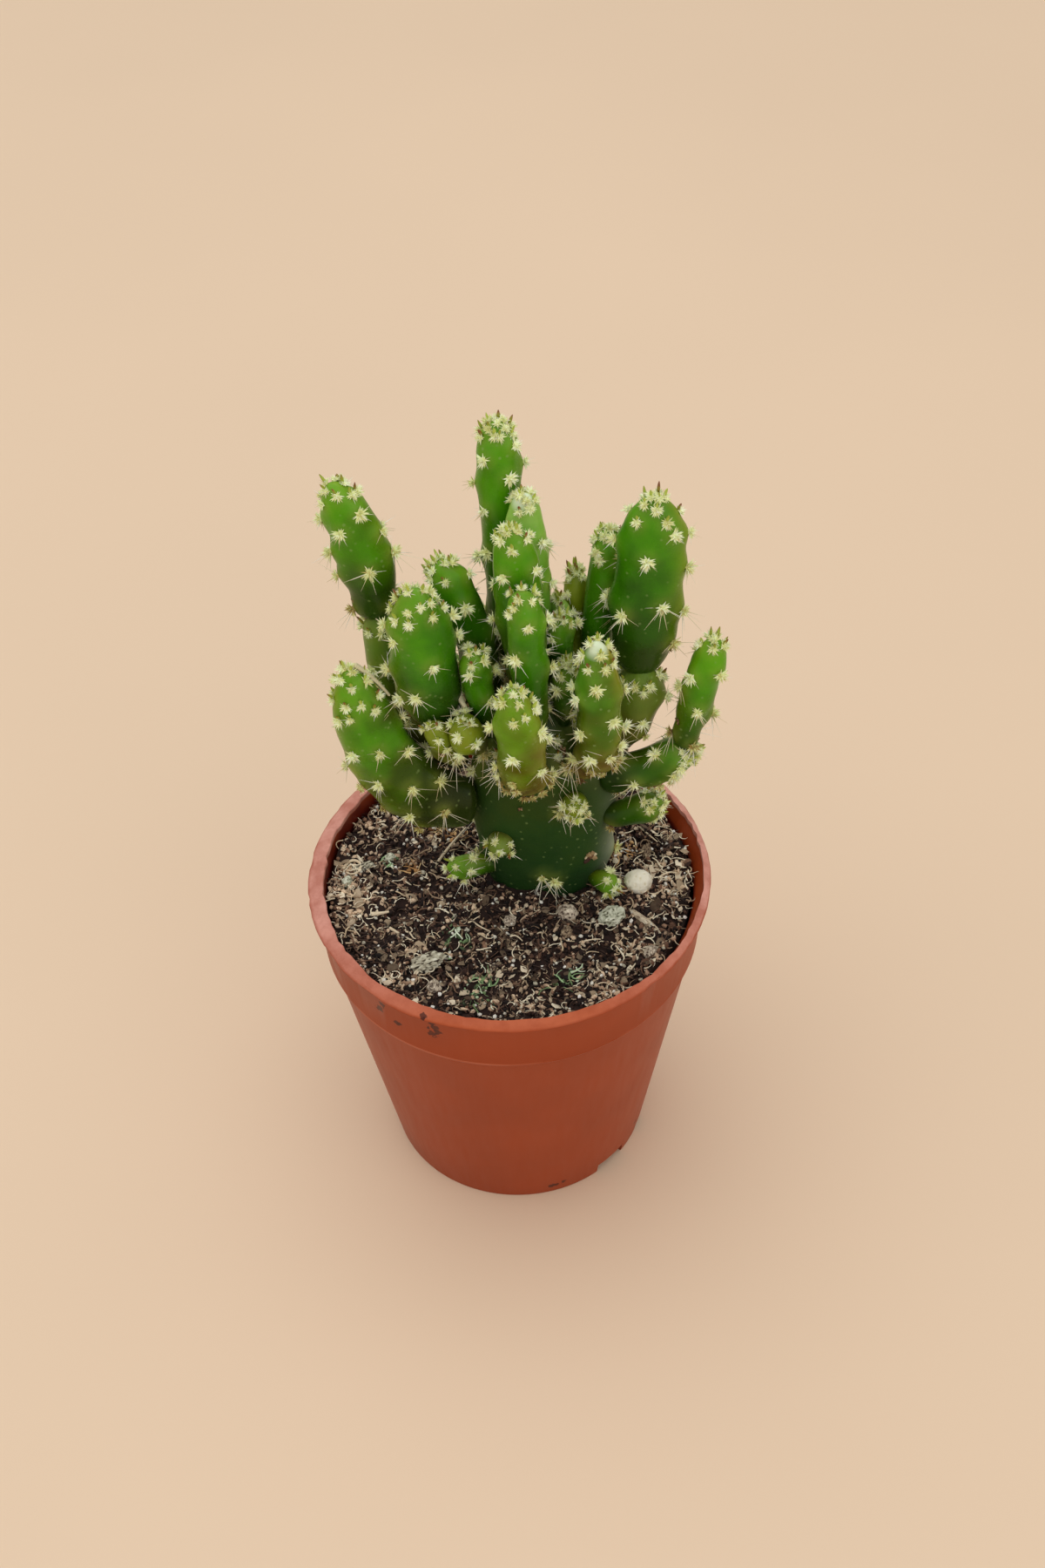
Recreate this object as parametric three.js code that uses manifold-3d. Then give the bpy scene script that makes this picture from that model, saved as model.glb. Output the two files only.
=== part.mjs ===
// Potted paddle cactus: a small bushy cactus with finger-like and oval segments, in a thin plastic pot.
// Millimetres, +Z up. The origin is the middle of the pot's flat foot disc, on the surface it stands on.
import * as THREE from 'three';
import { mergeVertices } from 'three/addons/utils/BufferGeometryUtils.js';
import Module from 'manifold-3d';

const wasm = await Module();
wasm.setup();

// Pot
const RIM_RADIUS = 27.5;
const LIP_WIDTH = 2.3;
const LIP_DROP = 0.7;
const POT_HEIGHT = 50;
const COLLAR_FOOT_RADIUS = 25.9;
const COLLAR_FOOT_HEIGHT = 40.5;
const STEP_DEPTH = 0.5;
const STEP_HEIGHT = 0.8;
const BASE_RADIUS = 18.7;
const WALL = 0.9;
const FOOT_RING_WIDTH = 1.9;
const CHANNEL_HEIGHT = 2.3;
const FOOT_DISC_RADIUS = 8;
const FOOT_DISC_TAPER = 0.8;
const FOOT_NOTCH = { width: 5.2, height: 2, reach: 4 };
const FOOT_NOTCH_ANGLES = [-46, 134];
const SMALL_NOTCH = { width: 2.4, height: 1.5, reach: 4 };
const SMALL_NOTCH_ANGLES = [-21, 159];
const DRAIN_HOLE_RADIUS = 2;
const DRAIN_CIRCLE_RADIUS = 12.5;
const DRAIN_HOLE_COUNT = 4;
const DRAIN_HOLE_SIDES = 12;
const POT_SIDES = 40;

// Soil and what lies on it
const SOIL_HEIGHT = 46.5;
const SOIL_RELIEF = 0.45;
const SOIL_WAVES = [
  { across: 0.52, deep: 0.21, start: 0.4 },
  { across: -0.33, deep: 0.47, start: 1.9 },
  { across: 0.9, deep: -0.74, start: 3.1 },
  { across: -1.15, deep: -0.62, start: 5.2 },
];
const WAVE_FADE = 0.4;
const SOIL_SIDES = 32;
const SOIL_RINGS = 6;
const CLEARANCE = 0.3;
const SLIVER = 0.04;
const TINY = 1e-3;
const LUMP_RISE = 0.2;
const FINE_LUMP = 3;

// Segments, and the tufts and spines on them
const PAD_SIDES = 10;
const PAD_RINGS = 8;
const BUD_SIDES = 8;
const BUD_RINGS = 6;
const BUD_WIDTH = 4.5;
const TIP_SHOULDER = 0.7;
const HEEL = 0.08;
const FLESH_STEPS = 24;
const NORMAL_STEP = 0.02;
const TUFT_RADIUS = 0.95;
const TUFT_HEIGHT = 1;
const TUFT_SIDES = 4;
const TUFT_ROOT = 0.4;
const ROW_SPACING = 6;
const AREOLE_SPACING = 6.4;
const FIRST_ROW = 0.84;
const LAST_ROW = 0.12;
const CROWN_PLACE = 0.965;
const CROWN_SPACING = 3;
const SPINE_RADIUS = 0.2;
const SPINE_SIDES = 3;
const SPINE_LENGTH = { least: 2, most: 4.2 };
const SPINE_LEAN = { side: 0.45, down: 0.7 };
const SPINE_BEADS = { count: 5, radius: 0.3 };
const SEED = 20;

const COLOURS = {
  pot: '#9a4427',
  soil: '#3a2a20',
  trunk: '#1f4020',
  paddle: '#3f7a24',
  young: '#5c8f2a',
  pebble: '#d9d2b8',
  grit: '#a79f8e',
  bark: '#6d5644',
};
const ROUGHNESS = { pot: 0.5, soil: 0.95, flesh: 0.45, bit: 0.9 };

const degrees = (angle) => THREE.MathUtils.degToRad(angle);
const at = (x, y, z) => new THREE.Vector3(x, y, z);

// Repeatable draws between 0 and 1.
function drawer(seed) {
  let state = seed;
  return () => {
    state = (Math.imul(state, 1664525) + 1013904223) >>> 0;
    return state / 2 ** 32;
  };
}
const draw = drawer(SEED);

// Closed geometry as a solid that can be joined and cut.
function solid(geometry) {
  const bare = geometry.clone();
  bare.deleteAttribute('normal');
  bare.deleteAttribute('uv');
  const merged = mergeVertices(bare);
  const corners = merged.index.array;
  const triangles = [];
  for (let i = 0; i < corners.length; i += 3) {
    const [a, b, c] = corners.slice(i, i + 3);
    if (a !== b && b !== c && c !== a) triangles.push(a, b, c);
  }
  return new wasm.Manifold(new wasm.Mesh({
    numProp: 3,
    vertProperties: new Float32Array(merged.attributes.position.array),
    triVerts: new Uint32Array(triangles),
  }));
}

// The largest shell of a solid, without loose scraps or sealed hollows.
function mainBody(shape) {
  const bodies = shape.decompose();
  return bodies.reduce((best, body) => (body.volume() > best.volume() ? body : best));
}

// The same body without the slivers that joining leaves along its seams.
function tidied(shape) {
  return mainBody(shape.asOriginal().simplify(SLIVER));
}

function pieceOf(name, shape, colour, roughness) {
  const { vertProperties, triVerts } = tidied(shape).getMesh();
  const geometry = new THREE.BufferGeometry();
  geometry.setAttribute('position', new THREE.BufferAttribute(new Float32Array(vertProperties), 3));
  geometry.setIndex(new THREE.BufferAttribute(new Uint32Array(triVerts), 1));
  geometry.computeVertexNormals();
  const material = new THREE.MeshStandardMaterial({ color: colour, roughness, metalness: 0 });
  const mesh = new THREE.Mesh(geometry, material);
  mesh.name = name;
  return mesh;
}

// A profile of [radius, height] points turned about the upright axis.
function turned(profile, sides) {
  const points = profile.map(([radius, height]) => new THREE.Vector2(radius, height));
  return new THREE.LatheGeometry(points, sides).rotateX(Math.PI / 2);
}

// Outer radius of the tapered body under the collar.
function bodyRadius(height) {
  const topRadius = COLLAR_FOOT_RADIUS - STEP_DEPTH;
  return THREE.MathUtils.mapLinear(height, 0, COLLAR_FOOT_HEIGHT - STEP_HEIGHT, BASE_RADIUS, topRadius);
}

// Inner radius of the pot's wall at a height.
function innerRadius(height) {
  const collarInner = COLLAR_FOOT_RADIUS - WALL;
  const lipInner = RIM_RADIUS - LIP_WIDTH;
  if (height < COLLAR_FOOT_HEIGHT) return Math.min(bodyRadius(height) - WALL, collarInner);
  return THREE.MathUtils.mapLinear(height, COLLAR_FOOT_HEIGHT, POT_HEIGHT, collarInner, lipInner);
}

function potProfile() {
  const floorTop = CHANNEL_HEIGHT + WALL;
  const discTop = WALL;
  const ringInner = BASE_RADIUS - FOOT_RING_WIDTH;
  const discEdge = FOOT_DISC_RADIUS + FOOT_DISC_TAPER;
  return [
    [0, 0],
    [FOOT_DISC_RADIUS, 0],
    [discEdge, CHANNEL_HEIGHT],
    [ringInner, CHANNEL_HEIGHT],
    [ringInner + FOOT_DISC_TAPER / 2, 0],
    [BASE_RADIUS, 0],
    [COLLAR_FOOT_RADIUS - STEP_DEPTH, COLLAR_FOOT_HEIGHT - STEP_HEIGHT],
    [COLLAR_FOOT_RADIUS, COLLAR_FOOT_HEIGHT],
    [RIM_RADIUS - LIP_DROP, POT_HEIGHT - LIP_DROP * 2],
    [RIM_RADIUS, POT_HEIGHT - LIP_DROP],
    [RIM_RADIUS - LIP_WIDTH, POT_HEIGHT],
    [innerRadius(COLLAR_FOOT_HEIGHT), COLLAR_FOOT_HEIGHT],
    [innerRadius(floorTop), floorTop],
    [discEdge - WALL, floorTop],
    [FOOT_DISC_RADIUS - WALL, discTop],
    [0, discTop],
  ];
}

// A block across the foot ring, from below the surface up to the notch's height.
function footNotch({ width, height, reach }, angle) {
  const block = new THREE.BoxGeometry(reach, width, height * 2);
  block.translate(BASE_RADIUS - reach / 4, 0, 0);
  return solid(block.rotateZ(degrees(angle)));
}

function drainHole(index) {
  const depth = CHANNEL_HEIGHT * 2;
  const hole = new THREE.CylinderGeometry(DRAIN_HOLE_RADIUS, DRAIN_HOLE_RADIUS, depth, DRAIN_HOLE_SIDES);
  hole.rotateX(Math.PI / 2);
  hole.translate(DRAIN_CIRCLE_RADIUS, 0, CHANNEL_HEIGHT + WALL);
  return solid(hole.rotateZ(degrees(index * 360 / DRAIN_HOLE_COUNT)));
}

function makePot() {
  let pot = solid(turned(potProfile(), POT_SIDES));
  for (const angle of FOOT_NOTCH_ANGLES) pot = pot.subtract(footNotch(FOOT_NOTCH, angle));
  for (const angle of SMALL_NOTCH_ANGLES) pot = pot.subtract(footNotch(SMALL_NOTCH, angle));
  for (let i = 0; i < DRAIN_HOLE_COUNT; i += 1) pot = pot.subtract(drainHole(i));
  return pieceOf('pot', pot, COLOURS.pot, ROUGHNESS.pot);
}

// Lumpy height of the soil over its level, a sum of waves that run in different directions.
function soilRelief(x, y) {
  return SOIL_WAVES.reduce((sum, { across, deep, start }, i) => (
    sum + Math.sin(across * x + deep * y + start) * SOIL_RELIEF / (1 + WAVE_FADE * i)), 0);
}

const soilTop = (x, y) => SOIL_HEIGHT + soilRelief(x, y);

function makeSoil(cutters) {
  const floorTop = CHANNEL_HEIGHT + WALL + CLEARANCE;
  const edge = innerRadius(SOIL_HEIGHT) - CLEARANCE;
  const shoulder = innerRadius(COLLAR_FOOT_HEIGHT) - CLEARANCE;
  const profile = [
    [0, floorTop],
    [innerRadius(floorTop) - CLEARANCE, floorTop],
    [shoulder, COLLAR_FOOT_HEIGHT],
    [edge, SOIL_HEIGHT],
  ];
  for (let i = 1; i <= SOIL_RINGS; i += 1) {
    profile.push([edge * (1 - i / SOIL_RINGS), SOIL_HEIGHT]);
  }
  const geometry = turned(profile, SOIL_SIDES);
  const { position } = geometry.attributes;
  for (let i = 0; i < position.count; i += 1) {
    if (position.getZ(i) < SOIL_HEIGHT - TINY) continue;
    position.setZ(i, soilTop(position.getX(i), position.getY(i)));
  }
  const soil = cutters.reduce((shape, cutter) => shape.subtract(cutter), solid(geometry));
  return pieceOf('soil', soil, COLOURS.soil, ROUGHNESS.soil);
}

// A segment grows from foot to tip through a bend. Its broad face looks toward the angle `faces`, seen from
// above. `neck` is the girth at the foot, `belly` the place of full girth and `taper` what the girth loses
// from there to the tip, all as parts of the whole. `turn` turns the rows of areoles.
function segment(name, foot, tip, wide, thick, shape = {}) {
  const middle = foot.clone().lerp(tip, 0.5);
  const { paddle } = COLOURS;
  const plain = { bend: middle, faces: -90, neck: 0.5, belly: 0.5, taper: 0, turn: 0, colour: paddle };
  const form = { ...plain, ...shape };
  const line = new THREE.QuadraticBezierCurve3(foot, form.bend, tip);
  const look = at(Math.cos(degrees(form.faces)), Math.sin(degrees(form.faces)), 0);
  return { ...form, name, line, length: line.getLength(), look, wide, thick };
}

// Girth along a segment as a part of its full width: a narrow foot, a belly and a round tip.
function girth(pad, s) {
  const swell = pad.neck + (1 - pad.neck) * Math.sin(Math.PI / 2 * Math.min(s / pad.belly, 1));
  const slim = 1 - pad.taper * Math.max(0, s - pad.belly) / (1 - pad.belly);
  const pastShoulder = Math.max(0, s - TIP_SHOULDER) / (1 - TIP_SHOULDER);
  const underHeel = Math.max(0, HEEL - s) / HEEL;
  return swell * slim * Math.sqrt((1 - pastShoulder ** 2) * (1 - underHeel ** 2));
}

// Axes of a segment at a place along it: across its width, along its thickness, and its middle.
function axesAt(pad, s) {
  const along = pad.line.getTangent(s);
  const across = along.clone().cross(pad.look).normalize();
  const through = across.clone().cross(along);
  return { middle: pad.line.getPoint(s), across, through };
}

// A point on a segment's skin, or outside it by `grow`.
function skinPoint(pad, s, angle, grow = 0) {
  const { middle, across, through } = axesAt(pad, s);
  const size = girth(pad, s);
  return middle
    .addScaledVector(across, Math.cos(angle) * (pad.wide / 2 * size + grow))
    .addScaledVector(through, Math.sin(angle) * (pad.thick / 2 * size + grow));
}

// The way out of the skin at a point.
function skinNormal(pad, s, angle) {
  const low = skinPoint(pad, Math.max(s - NORMAL_STEP, 0), angle);
  const high = skinPoint(pad, Math.min(s + NORMAL_STEP, 1), angle);
  const side = skinPoint(pad, s, angle + NORMAL_STEP).sub(skinPoint(pad, s, angle - NORMAL_STEP));
  const normal = side.cross(high.sub(low)).normalize();
  const outward = skinPoint(pad, s, angle).sub(pad.line.getPoint(s));
  return normal.dot(outward) < 0 ? normal.negate() : normal;
}

// A segment's flesh, from a ball whose poles are its heel and its tip.
function flesh(pad, grow = 0) {
  const bud = pad.wide < BUD_WIDTH;
  const ball = new THREE.SphereGeometry(1, bud ? BUD_SIDES : PAD_SIDES, bud ? BUD_RINGS : PAD_RINGS);
  const { position } = ball.attributes;
  for (let i = 0; i < position.count; i += 1) {
    const polar = Math.acos(THREE.MathUtils.clamp(position.getY(i), -1, 1));
    const s = (1 + Math.cos(polar)) / 2;
    const angle = Math.atan2(position.getZ(i), position.getX(i));
    const pole = Math.sin(polar) < TINY;
    const point = pole ? pad.line.getPoint(s) : skinPoint(pad, s, angle, grow);
    if (grow > 0) point.addScaledVector(pad.line.getTangent(s), grow * Math.cos(polar));
    position.setXYZ(i, point.x, point.y, point.z);
  }
  return solid(ball);
}

// True where a point lies within `margin` of a segment's skin.
function nearFlesh(pad, point, margin) {
  const steps = FLESH_STEPS;
  for (let i = 0; i <= steps; i += 1) {
    const s = i / steps;
    const { middle, across, through } = axesAt(pad, s);
    const offset = point.clone().sub(middle);
    if (Math.abs(offset.dot(pad.line.getTangent(s))) > pad.length / steps + margin) continue;
    const wide = offset.dot(across) / (pad.wide / 2 * girth(pad, s) + margin);
    const deep = offset.dot(through) / (pad.thick / 2 * girth(pad, s) + margin);
    if (Math.hypot(wide, deep) < 1) return true;
  }
  return false;
}

// Areoles sit in rows round a segment, each row turned by half a space, and crowd together at the tip.
function areoles(pad) {
  const places = [];
  const around = Math.PI * (pad.wide + pad.thick) / 2;
  const spin = (i, count) => degrees(pad.turn) + Math.PI * 2 * i / count;
  const count = Math.max(3, Math.round(around / AREOLE_SPACING));
  const rows = Math.floor((FIRST_ROW - LAST_ROW) * pad.length / ROW_SPACING) + 1;
  for (let row = 0; row < rows; row += 1) {
    const s = FIRST_ROW - row * ROW_SPACING / pad.length;
    for (let i = 0; i < count; i += 1) {
      places.push({ s, angle: spin(i + (row % 2) / 2, count), crown: false });
    }
  }
  const crown = Math.max(3, Math.round(around * girth(pad, CROWN_PLACE) / CROWN_SPACING));
  for (let i = 0; i < crown; i += 1) {
    places.push({ s: CROWN_PLACE, angle: spin(i + 0.5, crown), crown: true });
  }
  places.push({ s: 1 - TINY, angle: 0, crown: true });
  return places;
}

// Turns geometry that stands along Y to stand along another direction.
function turnTo(geometry, direction) {
  return geometry.applyQuaternion(new THREE.Quaternion().setFromUnitVectors(at(0, 1, 0), direction));
}

function tuft(point, normal) {
  const height = TUFT_HEIGHT + TUFT_ROOT;
  const lump = new THREE.ConeGeometry(TUFT_RADIUS, height, TUFT_SIDES);
  lump.translate(0, height / 2 - TUFT_ROOT, 0);
  turnTo(lump, normal);
  lump.translate(...point.toArray());
  return solid(lump);
}

function spine(root, direction, length) {
  const cone = new THREE.ConeGeometry(SPINE_RADIUS, length, SPINE_SIDES);
  cone.translate(0, length / 2, 0);
  turnTo(cone, direction);
  cone.translate(...root.toArray());
  return solid(cone);
}

// Spines lean out and down from their tuft.
function spineDirection(normal) {
  const { side, down } = SPINE_LEAN;
  const lean = at((draw() * 2 - 1) * side, (draw() * 2 - 1) * side, -draw() * down);
  return normal.clone().add(lean).normalize();
}

// Beads along a spine, but for its root, that stand for it when two segments' repeats are kept apart.
function spineBeads(root, direction, length) {
  const { count, radius } = SPINE_BEADS;
  const beads = [];
  for (let i = 2; i <= count; i += 1) {
    beads.push({ centre: root.clone().addScaledVector(direction, length * i / count), radius });
  }
  return beads;
}

// True where no bead comes near another segment or what grows on it.
function isFree(owner, beads, pads, taken) {
  return beads.every(({ centre, radius }) => (
    !pads.some((pad) => pad !== owner && nearFlesh(pad, centre, radius + CLEARANCE))
    && !taken.some((bead) => bead.owner !== owner
      && bead.centre.distanceTo(centre) < bead.radius + radius + CLEARANCE)));
}

// True where a bead is clear of the soil.
function overSoil({ centre, radius }) {
  return centre.z > soilTop(centre.x, centre.y) + radius + CLEARANCE;
}

// The tufts on a segment, a spine on every second one, and a crowded crown at its tip.
function repeatsOn(pad, pads, taken) {
  const shapes = [];
  let bare = false;
  const place = (beads, shape) => {
    if (!beads.every(overSoil) || !isFree(pad, beads, pads, taken)) return false;
    beads.forEach((bead) => taken.push({ ...bead, owner: pad }));
    shapes.push(shape);
    return true;
  };
  for (const { s, angle, crown } of areoles(pad)) {
    const point = skinPoint(pad, s, angle);
    const normal = skinNormal(pad, s, angle);
    if (!place([{ centre: point, radius: TUFT_RADIUS }], tuft(point, normal))) continue;
    bare = !bare;
    if (crown || bare) continue;
    const root = point.clone().addScaledVector(normal, -TUFT_RADIUS);
    const length = TUFT_RADIUS + THREE.MathUtils.lerp(SPINE_LENGTH.least, SPINE_LENGTH.most, draw());
    const direction = spineDirection(normal);
    place(spineBeads(root, direction, length), spine(root, direction, length));
  }
  return shapes;
}

const TRUNK = segment('trunk', at(5.4, 3, 38), at(5, 3, 78), 19.6, 11,
  { neck: 0.62, belly: 0.55, turn: 20, colour: COLOURS.trunk });

function leftPads() {
  return [
    segment('paddle_low_left', at(-3.5, 0.5, 63), at(-18.4, -3, 90.4), 10.4, 7,
      { bend: at(-16, -1.5, 64), neck: 0.75, belly: 0.4, taper: 0.26, turn: 90 }),
    segment('neck_left', at(-4.5, 3, 67.5), at(-14.9, 5, 93), 6, 5.4, { bend: at(-13.2, 4, 72) }),
    segment('paddle_tall_left', at(-14.9, 5, 91), at(-18.8, 5, 112.2), 7.2, 5.8,
      { bend: at(-14.8, 5, 103), belly: 0.4, taper: 0.22 }),
    segment('paddle_broad_left', at(-6.6, 0.6, 76), at(-9.4, -2, 101.6), 8.4, 6.4,
      { bend: at(-9.6, -0.8, 82), neck: 0.25, belly: 0.5, turn: 90 }),
    segment('paddle_small_left', at(-1.4, 4.6, 75.5), at(-7, 4.4, 100.4), 5.4, 4.5,
      { bend: at(-2.2, 4.5, 90) }),
    segment('ball_front_left', at(-3.5, -0.3, 74.5), at(-4.7, -6.2, 82.2), 4.9, 4.9,
      { colour: COLOURS.young }),
    segment('ball_left', at(-6, 0, 70.5), at(-8.6, -4.2, 81.6), 3.8, 3.8, { colour: COLOURS.young }),
  ];
}

function centrePads() {
  return [
    segment('paddle_tallest', at(1.8, 7, 75), at(0.8, 10, 116.6), 5.8, 5.2,
      { belly: 0.55, turn: 60 }),
    segment('paddle_pale', at(5, 5.6, 76), at(3.7, 5.5, 109.4), 5.2, 4, { turn: 30 }),
    segment('paddle_centre_back', at(4, 1.5, 75.5), at(2.2, 1, 107.6), 6.2, 4.6, { belly: 0.6 }),
    segment('paddle_centre', at(4.2, -1.5, 74.5), at(3.1, -3.5, 101.8), 5, 4.4, { turn: 90 }),
    segment('paddle_centre_small', at(-2, 0.3, 74.5), at(-3.2, -2, 91.6), 4.2, 4),
    segment('paddle_low_centre', at(3, -0.5, 71), at(1.6, -8, 90.4), 6.2, 5.4,
      { bend: at(2.8, -8.6, 70.6), neck: 0.75, turn: 90 }),
  ];
}

function rightPads() {
  return [
    segment('neck_right', at(11.5, 3, 70), at(17.8, 3, 84.5), 6.6, 5.8, { bend: at(18, 3, 73), neck: 0.6 }),
    segment('paddle_broad_right', at(17.4, 3, 82), at(19.2, 3, 110.2), 9.3, 6,
      { bend: at(18.6, 3, 96), neck: 0.5, belly: 0.42, taper: 0.14, turn: 45 }),
    segment('paddle_right_behind', at(11.3, 6, 73), at(14, 8, 101.6), 4.6, 4.2),
    segment('paddle_right_front', at(9.8, 0, 70.6), at(11.8, -3.5, 93.6), 5.9, 5,
      { bend: at(13, -5, 71.4), neck: 0.75, turn: 90 }),
    segment('arm_right', at(12, 1, 65.8), at(24.8, 0, 72.4), 5.6, 5, { bend: at(19, 0, 67.8), neck: 0.75 }),
    segment('finger_right', at(23, 0, 71), at(26.8, 0, 90.4), 4.8, 4.2, { bend: at(24.4, 0, 80) }),
    segment('finger_right_low', at(12.6, 1, 59.5), at(20.4, -0.6, 63.4), 4.6, 4.2, { bend: at(17, 0, 59.5) }),
    segment('bud_inner', at(7.6, 4.8, 75), at(7.9, 4, 91.6), 3.6, 3.4),
    segment('bud_inner_dark', at(8, 1.4, 75), at(8.3, 0.8, 86.5), 4, 3.8),
    segment('bud_pale', at(7.4, 7.6, 74), at(7.6, 7.4, 91.6), 3, 3, { colour: COLOURS.young }),
    segment('bud_olive', at(10, 7, 73.5), at(10, 10.4, 93.8), 3.4, 3.2, { colour: COLOURS.young }),
  ];
}

// Segments on the far side, no higher than those in front of them.
function backPads() {
  return [
    segment('paddle_back_left', at(-2, 6, 69), at(-10, 15, 80.5), 7.4, 5.4,
      { bend: at(-8, 13, 68), faces: 120, neck: 0.6 }),
    segment('paddle_back_centre', at(3, 7, 71), at(3.4, 17.5, 90), 6.8, 5,
      { bend: at(3, 17, 71), faces: 90, neck: 0.6 }),
    segment('paddle_back_right', at(11.5, 6, 68), at(17.5, 14.5, 87), 6.6, 5,
      { bend: at(17, 13.5, 68), faces: 60, neck: 0.6 }),
    segment('paddle_back_low', at(7, 7, 59), at(8, 17, 72), 5.4, 4.6, { bend: at(7.5, 16, 58), faces: 90 }),
    segment('bud_back', at(-0.5, 7, 58), at(-2.5, 12.5, 61), 4, 3.8, { colour: COLOURS.young }),
  ];
}

// Young segments on the trunk's face.
function faceBuds() {
  return [
    segment('bud_face_right', at(8.8, -0.5, 64), at(9.2, -5, 66), 4, 4, { colour: COLOURS.young }),
    segment('bud_face_left', at(-0.4, 0.8, 56.4), at(-1.4, -3.6, 57.4), 3.8, 3.8),
  ];
}

// Young segments at the trunk's foot, partly in the soil.
function footBuds() {
  return [
    segment('bud_foot_left', at(-1.2, 1.4, 50), at(-8.6, -0.4, 51.4), 3.6, 3.2, { neck: 0.7 }),
    segment('bud_foot_right', at(11, 0.6, 47.6), at(14.6, -3, 48.6), 3.4, 3.2, { neck: 0.7 }),
  ];
}

// Every segment's flesh, each seated on the ones before it with a small gap.
function seatedFlesh(pads) {
  const placed = [];
  return pads.map((pad) => {
    let body = flesh(pad);
    for (const other of placed) {
      if (!body.intersect(other).isEmpty()) body = mainBody(body.subtract(other));
    }
    placed.push(flesh(pad, CLEARANCE));
    return { pad, body };
  });
}

function makePlant() {
  const pads = [
    TRUNK, ...leftPads(), ...centrePads(), ...rightPads(), ...backPads(), ...faceBuds(), ...footBuds(),
  ];
  const taken = [];
  return seatedFlesh(pads).map(({ pad, body }) => {
    const whole = repeatsOn(pad, pads, taken).reduce((shape, extra) => shape.add(extra), body);
    return pieceOf(pad.name, whole, pad.colour, ROUGHNESS.flesh);
  });
}

// An uneven lump, its corners moved by a seeded draw. `rough` is how far, as a part of its radius.
function lump({ x, y, length, width, height, turn, rough }, grow = 0) {
  const chance = drawer(Math.round(length * 1000 + width * 100));
  const detail = length > FINE_LUMP ? 1 : 0;
  const bare = new THREE.IcosahedronGeometry(1, detail).deleteAttribute('normal').deleteAttribute('uv');
  const ball = mergeVertices(bare);
  const { position } = ball.attributes;
  const half = at(length / 2, width / 2, height / 2).addScalar(grow);
  const corner = at(0, 0, 0);
  for (let i = 0; i < position.count; i += 1) {
    corner.fromBufferAttribute(position, i).multiplyScalar(1 - chance() * rough).multiply(half);
    position.setXYZ(i, corner.x, corner.y, corner.z);
  }
  ball.rotateZ(degrees(turn));
  ball.translate(x, y, soilTop(x, y) + height * LUMP_RISE);
  return solid(ball);
}

// What lies on the soil: a round pebble, pumice grit, bark and a twig.
function looseBits() {
  const bit = (name, x, y, size, turn, rough, colour) => {
    const [length, width, height] = size;
    return { name, x, y, length, width, height, turn, rough, colour };
  };
  return [
    bit('pebble_round', 17.5, -0.9, [3.8, 3.6, 3.4], 20, 0.06, COLOURS.pebble),
    bit('grit_flat', 13.6, -6.7, [3.6, 2.6, 2.2], 35, 0.3, COLOURS.grit),
    bit('grit_round', 7.6, -6, [2.9, 2.6, 2.2], 0, 0.2, COLOURS.grit),
    bit('grit_brown', 7.4, -9.4, [2.2, 1.7, 1.6], 60, 0.25, COLOURS.bark),
    bit('grit_left', -0.1, -6.1, [2.1, 1.9, 1.7], 0, 0.25, COLOURS.grit),
    bit('grit_right', 18.4, -13.4, [2.6, 2, 1.8], 50, 0.25, COLOURS.grit),
    bit('grit_front', -10.3, -17.4, [2.7, 2.1, 2], 100, 0.25, COLOURS.bark),
    bit('grit_green', -16.5, 6.3, [1.7, 1.5, 1.4], 0, 0.2, COLOURS.grit),
    bit('stone_rim', -22.3, 1.4, [2, 1.6, 1.6], 70, 0.2, COLOURS.grit),
    bit('bark_long', -11.3, -12.9, [5.6, 2.3, 1.8], 12, 0.25, COLOURS.bark),
    bit('bark_left', -20.4, 4.6, [4.2, 1.6, 1.5], 30, 0.3, COLOURS.bark),
    bit('bark_right', 19.2, 6.2, [3.4, 1.7, 1.5], 80, 0.3, COLOURS.bark),
    bit('twig', 18, -7.6, [7, 1.1, 1.1], -50, 0.1, COLOURS.bark),
  ];
}

const bits = looseBits();
const soilHollows = [TRUNK, ...footBuds()].map((pad) => flesh(pad, CLEARANCE))
  .concat(bits.map((bit) => lump(bit, CLEARANCE)));

const group = new THREE.Group();
group.add(makePot());
group.add(makeSoil(soilHollows));
for (const piece of makePlant()) group.add(piece);
for (const bit of bits) group.add(pieceOf(bit.name, lump(bit), bit.colour, ROUGHNESS.bit));

export default group;
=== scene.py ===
# Looks of a potted paddle cactus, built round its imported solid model.
import math
import random

import bmesh
import bpy
import numpy as np
from mathutils import Matrix, Vector, noise
from mathutils.bvhtree import BVHTree


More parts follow.
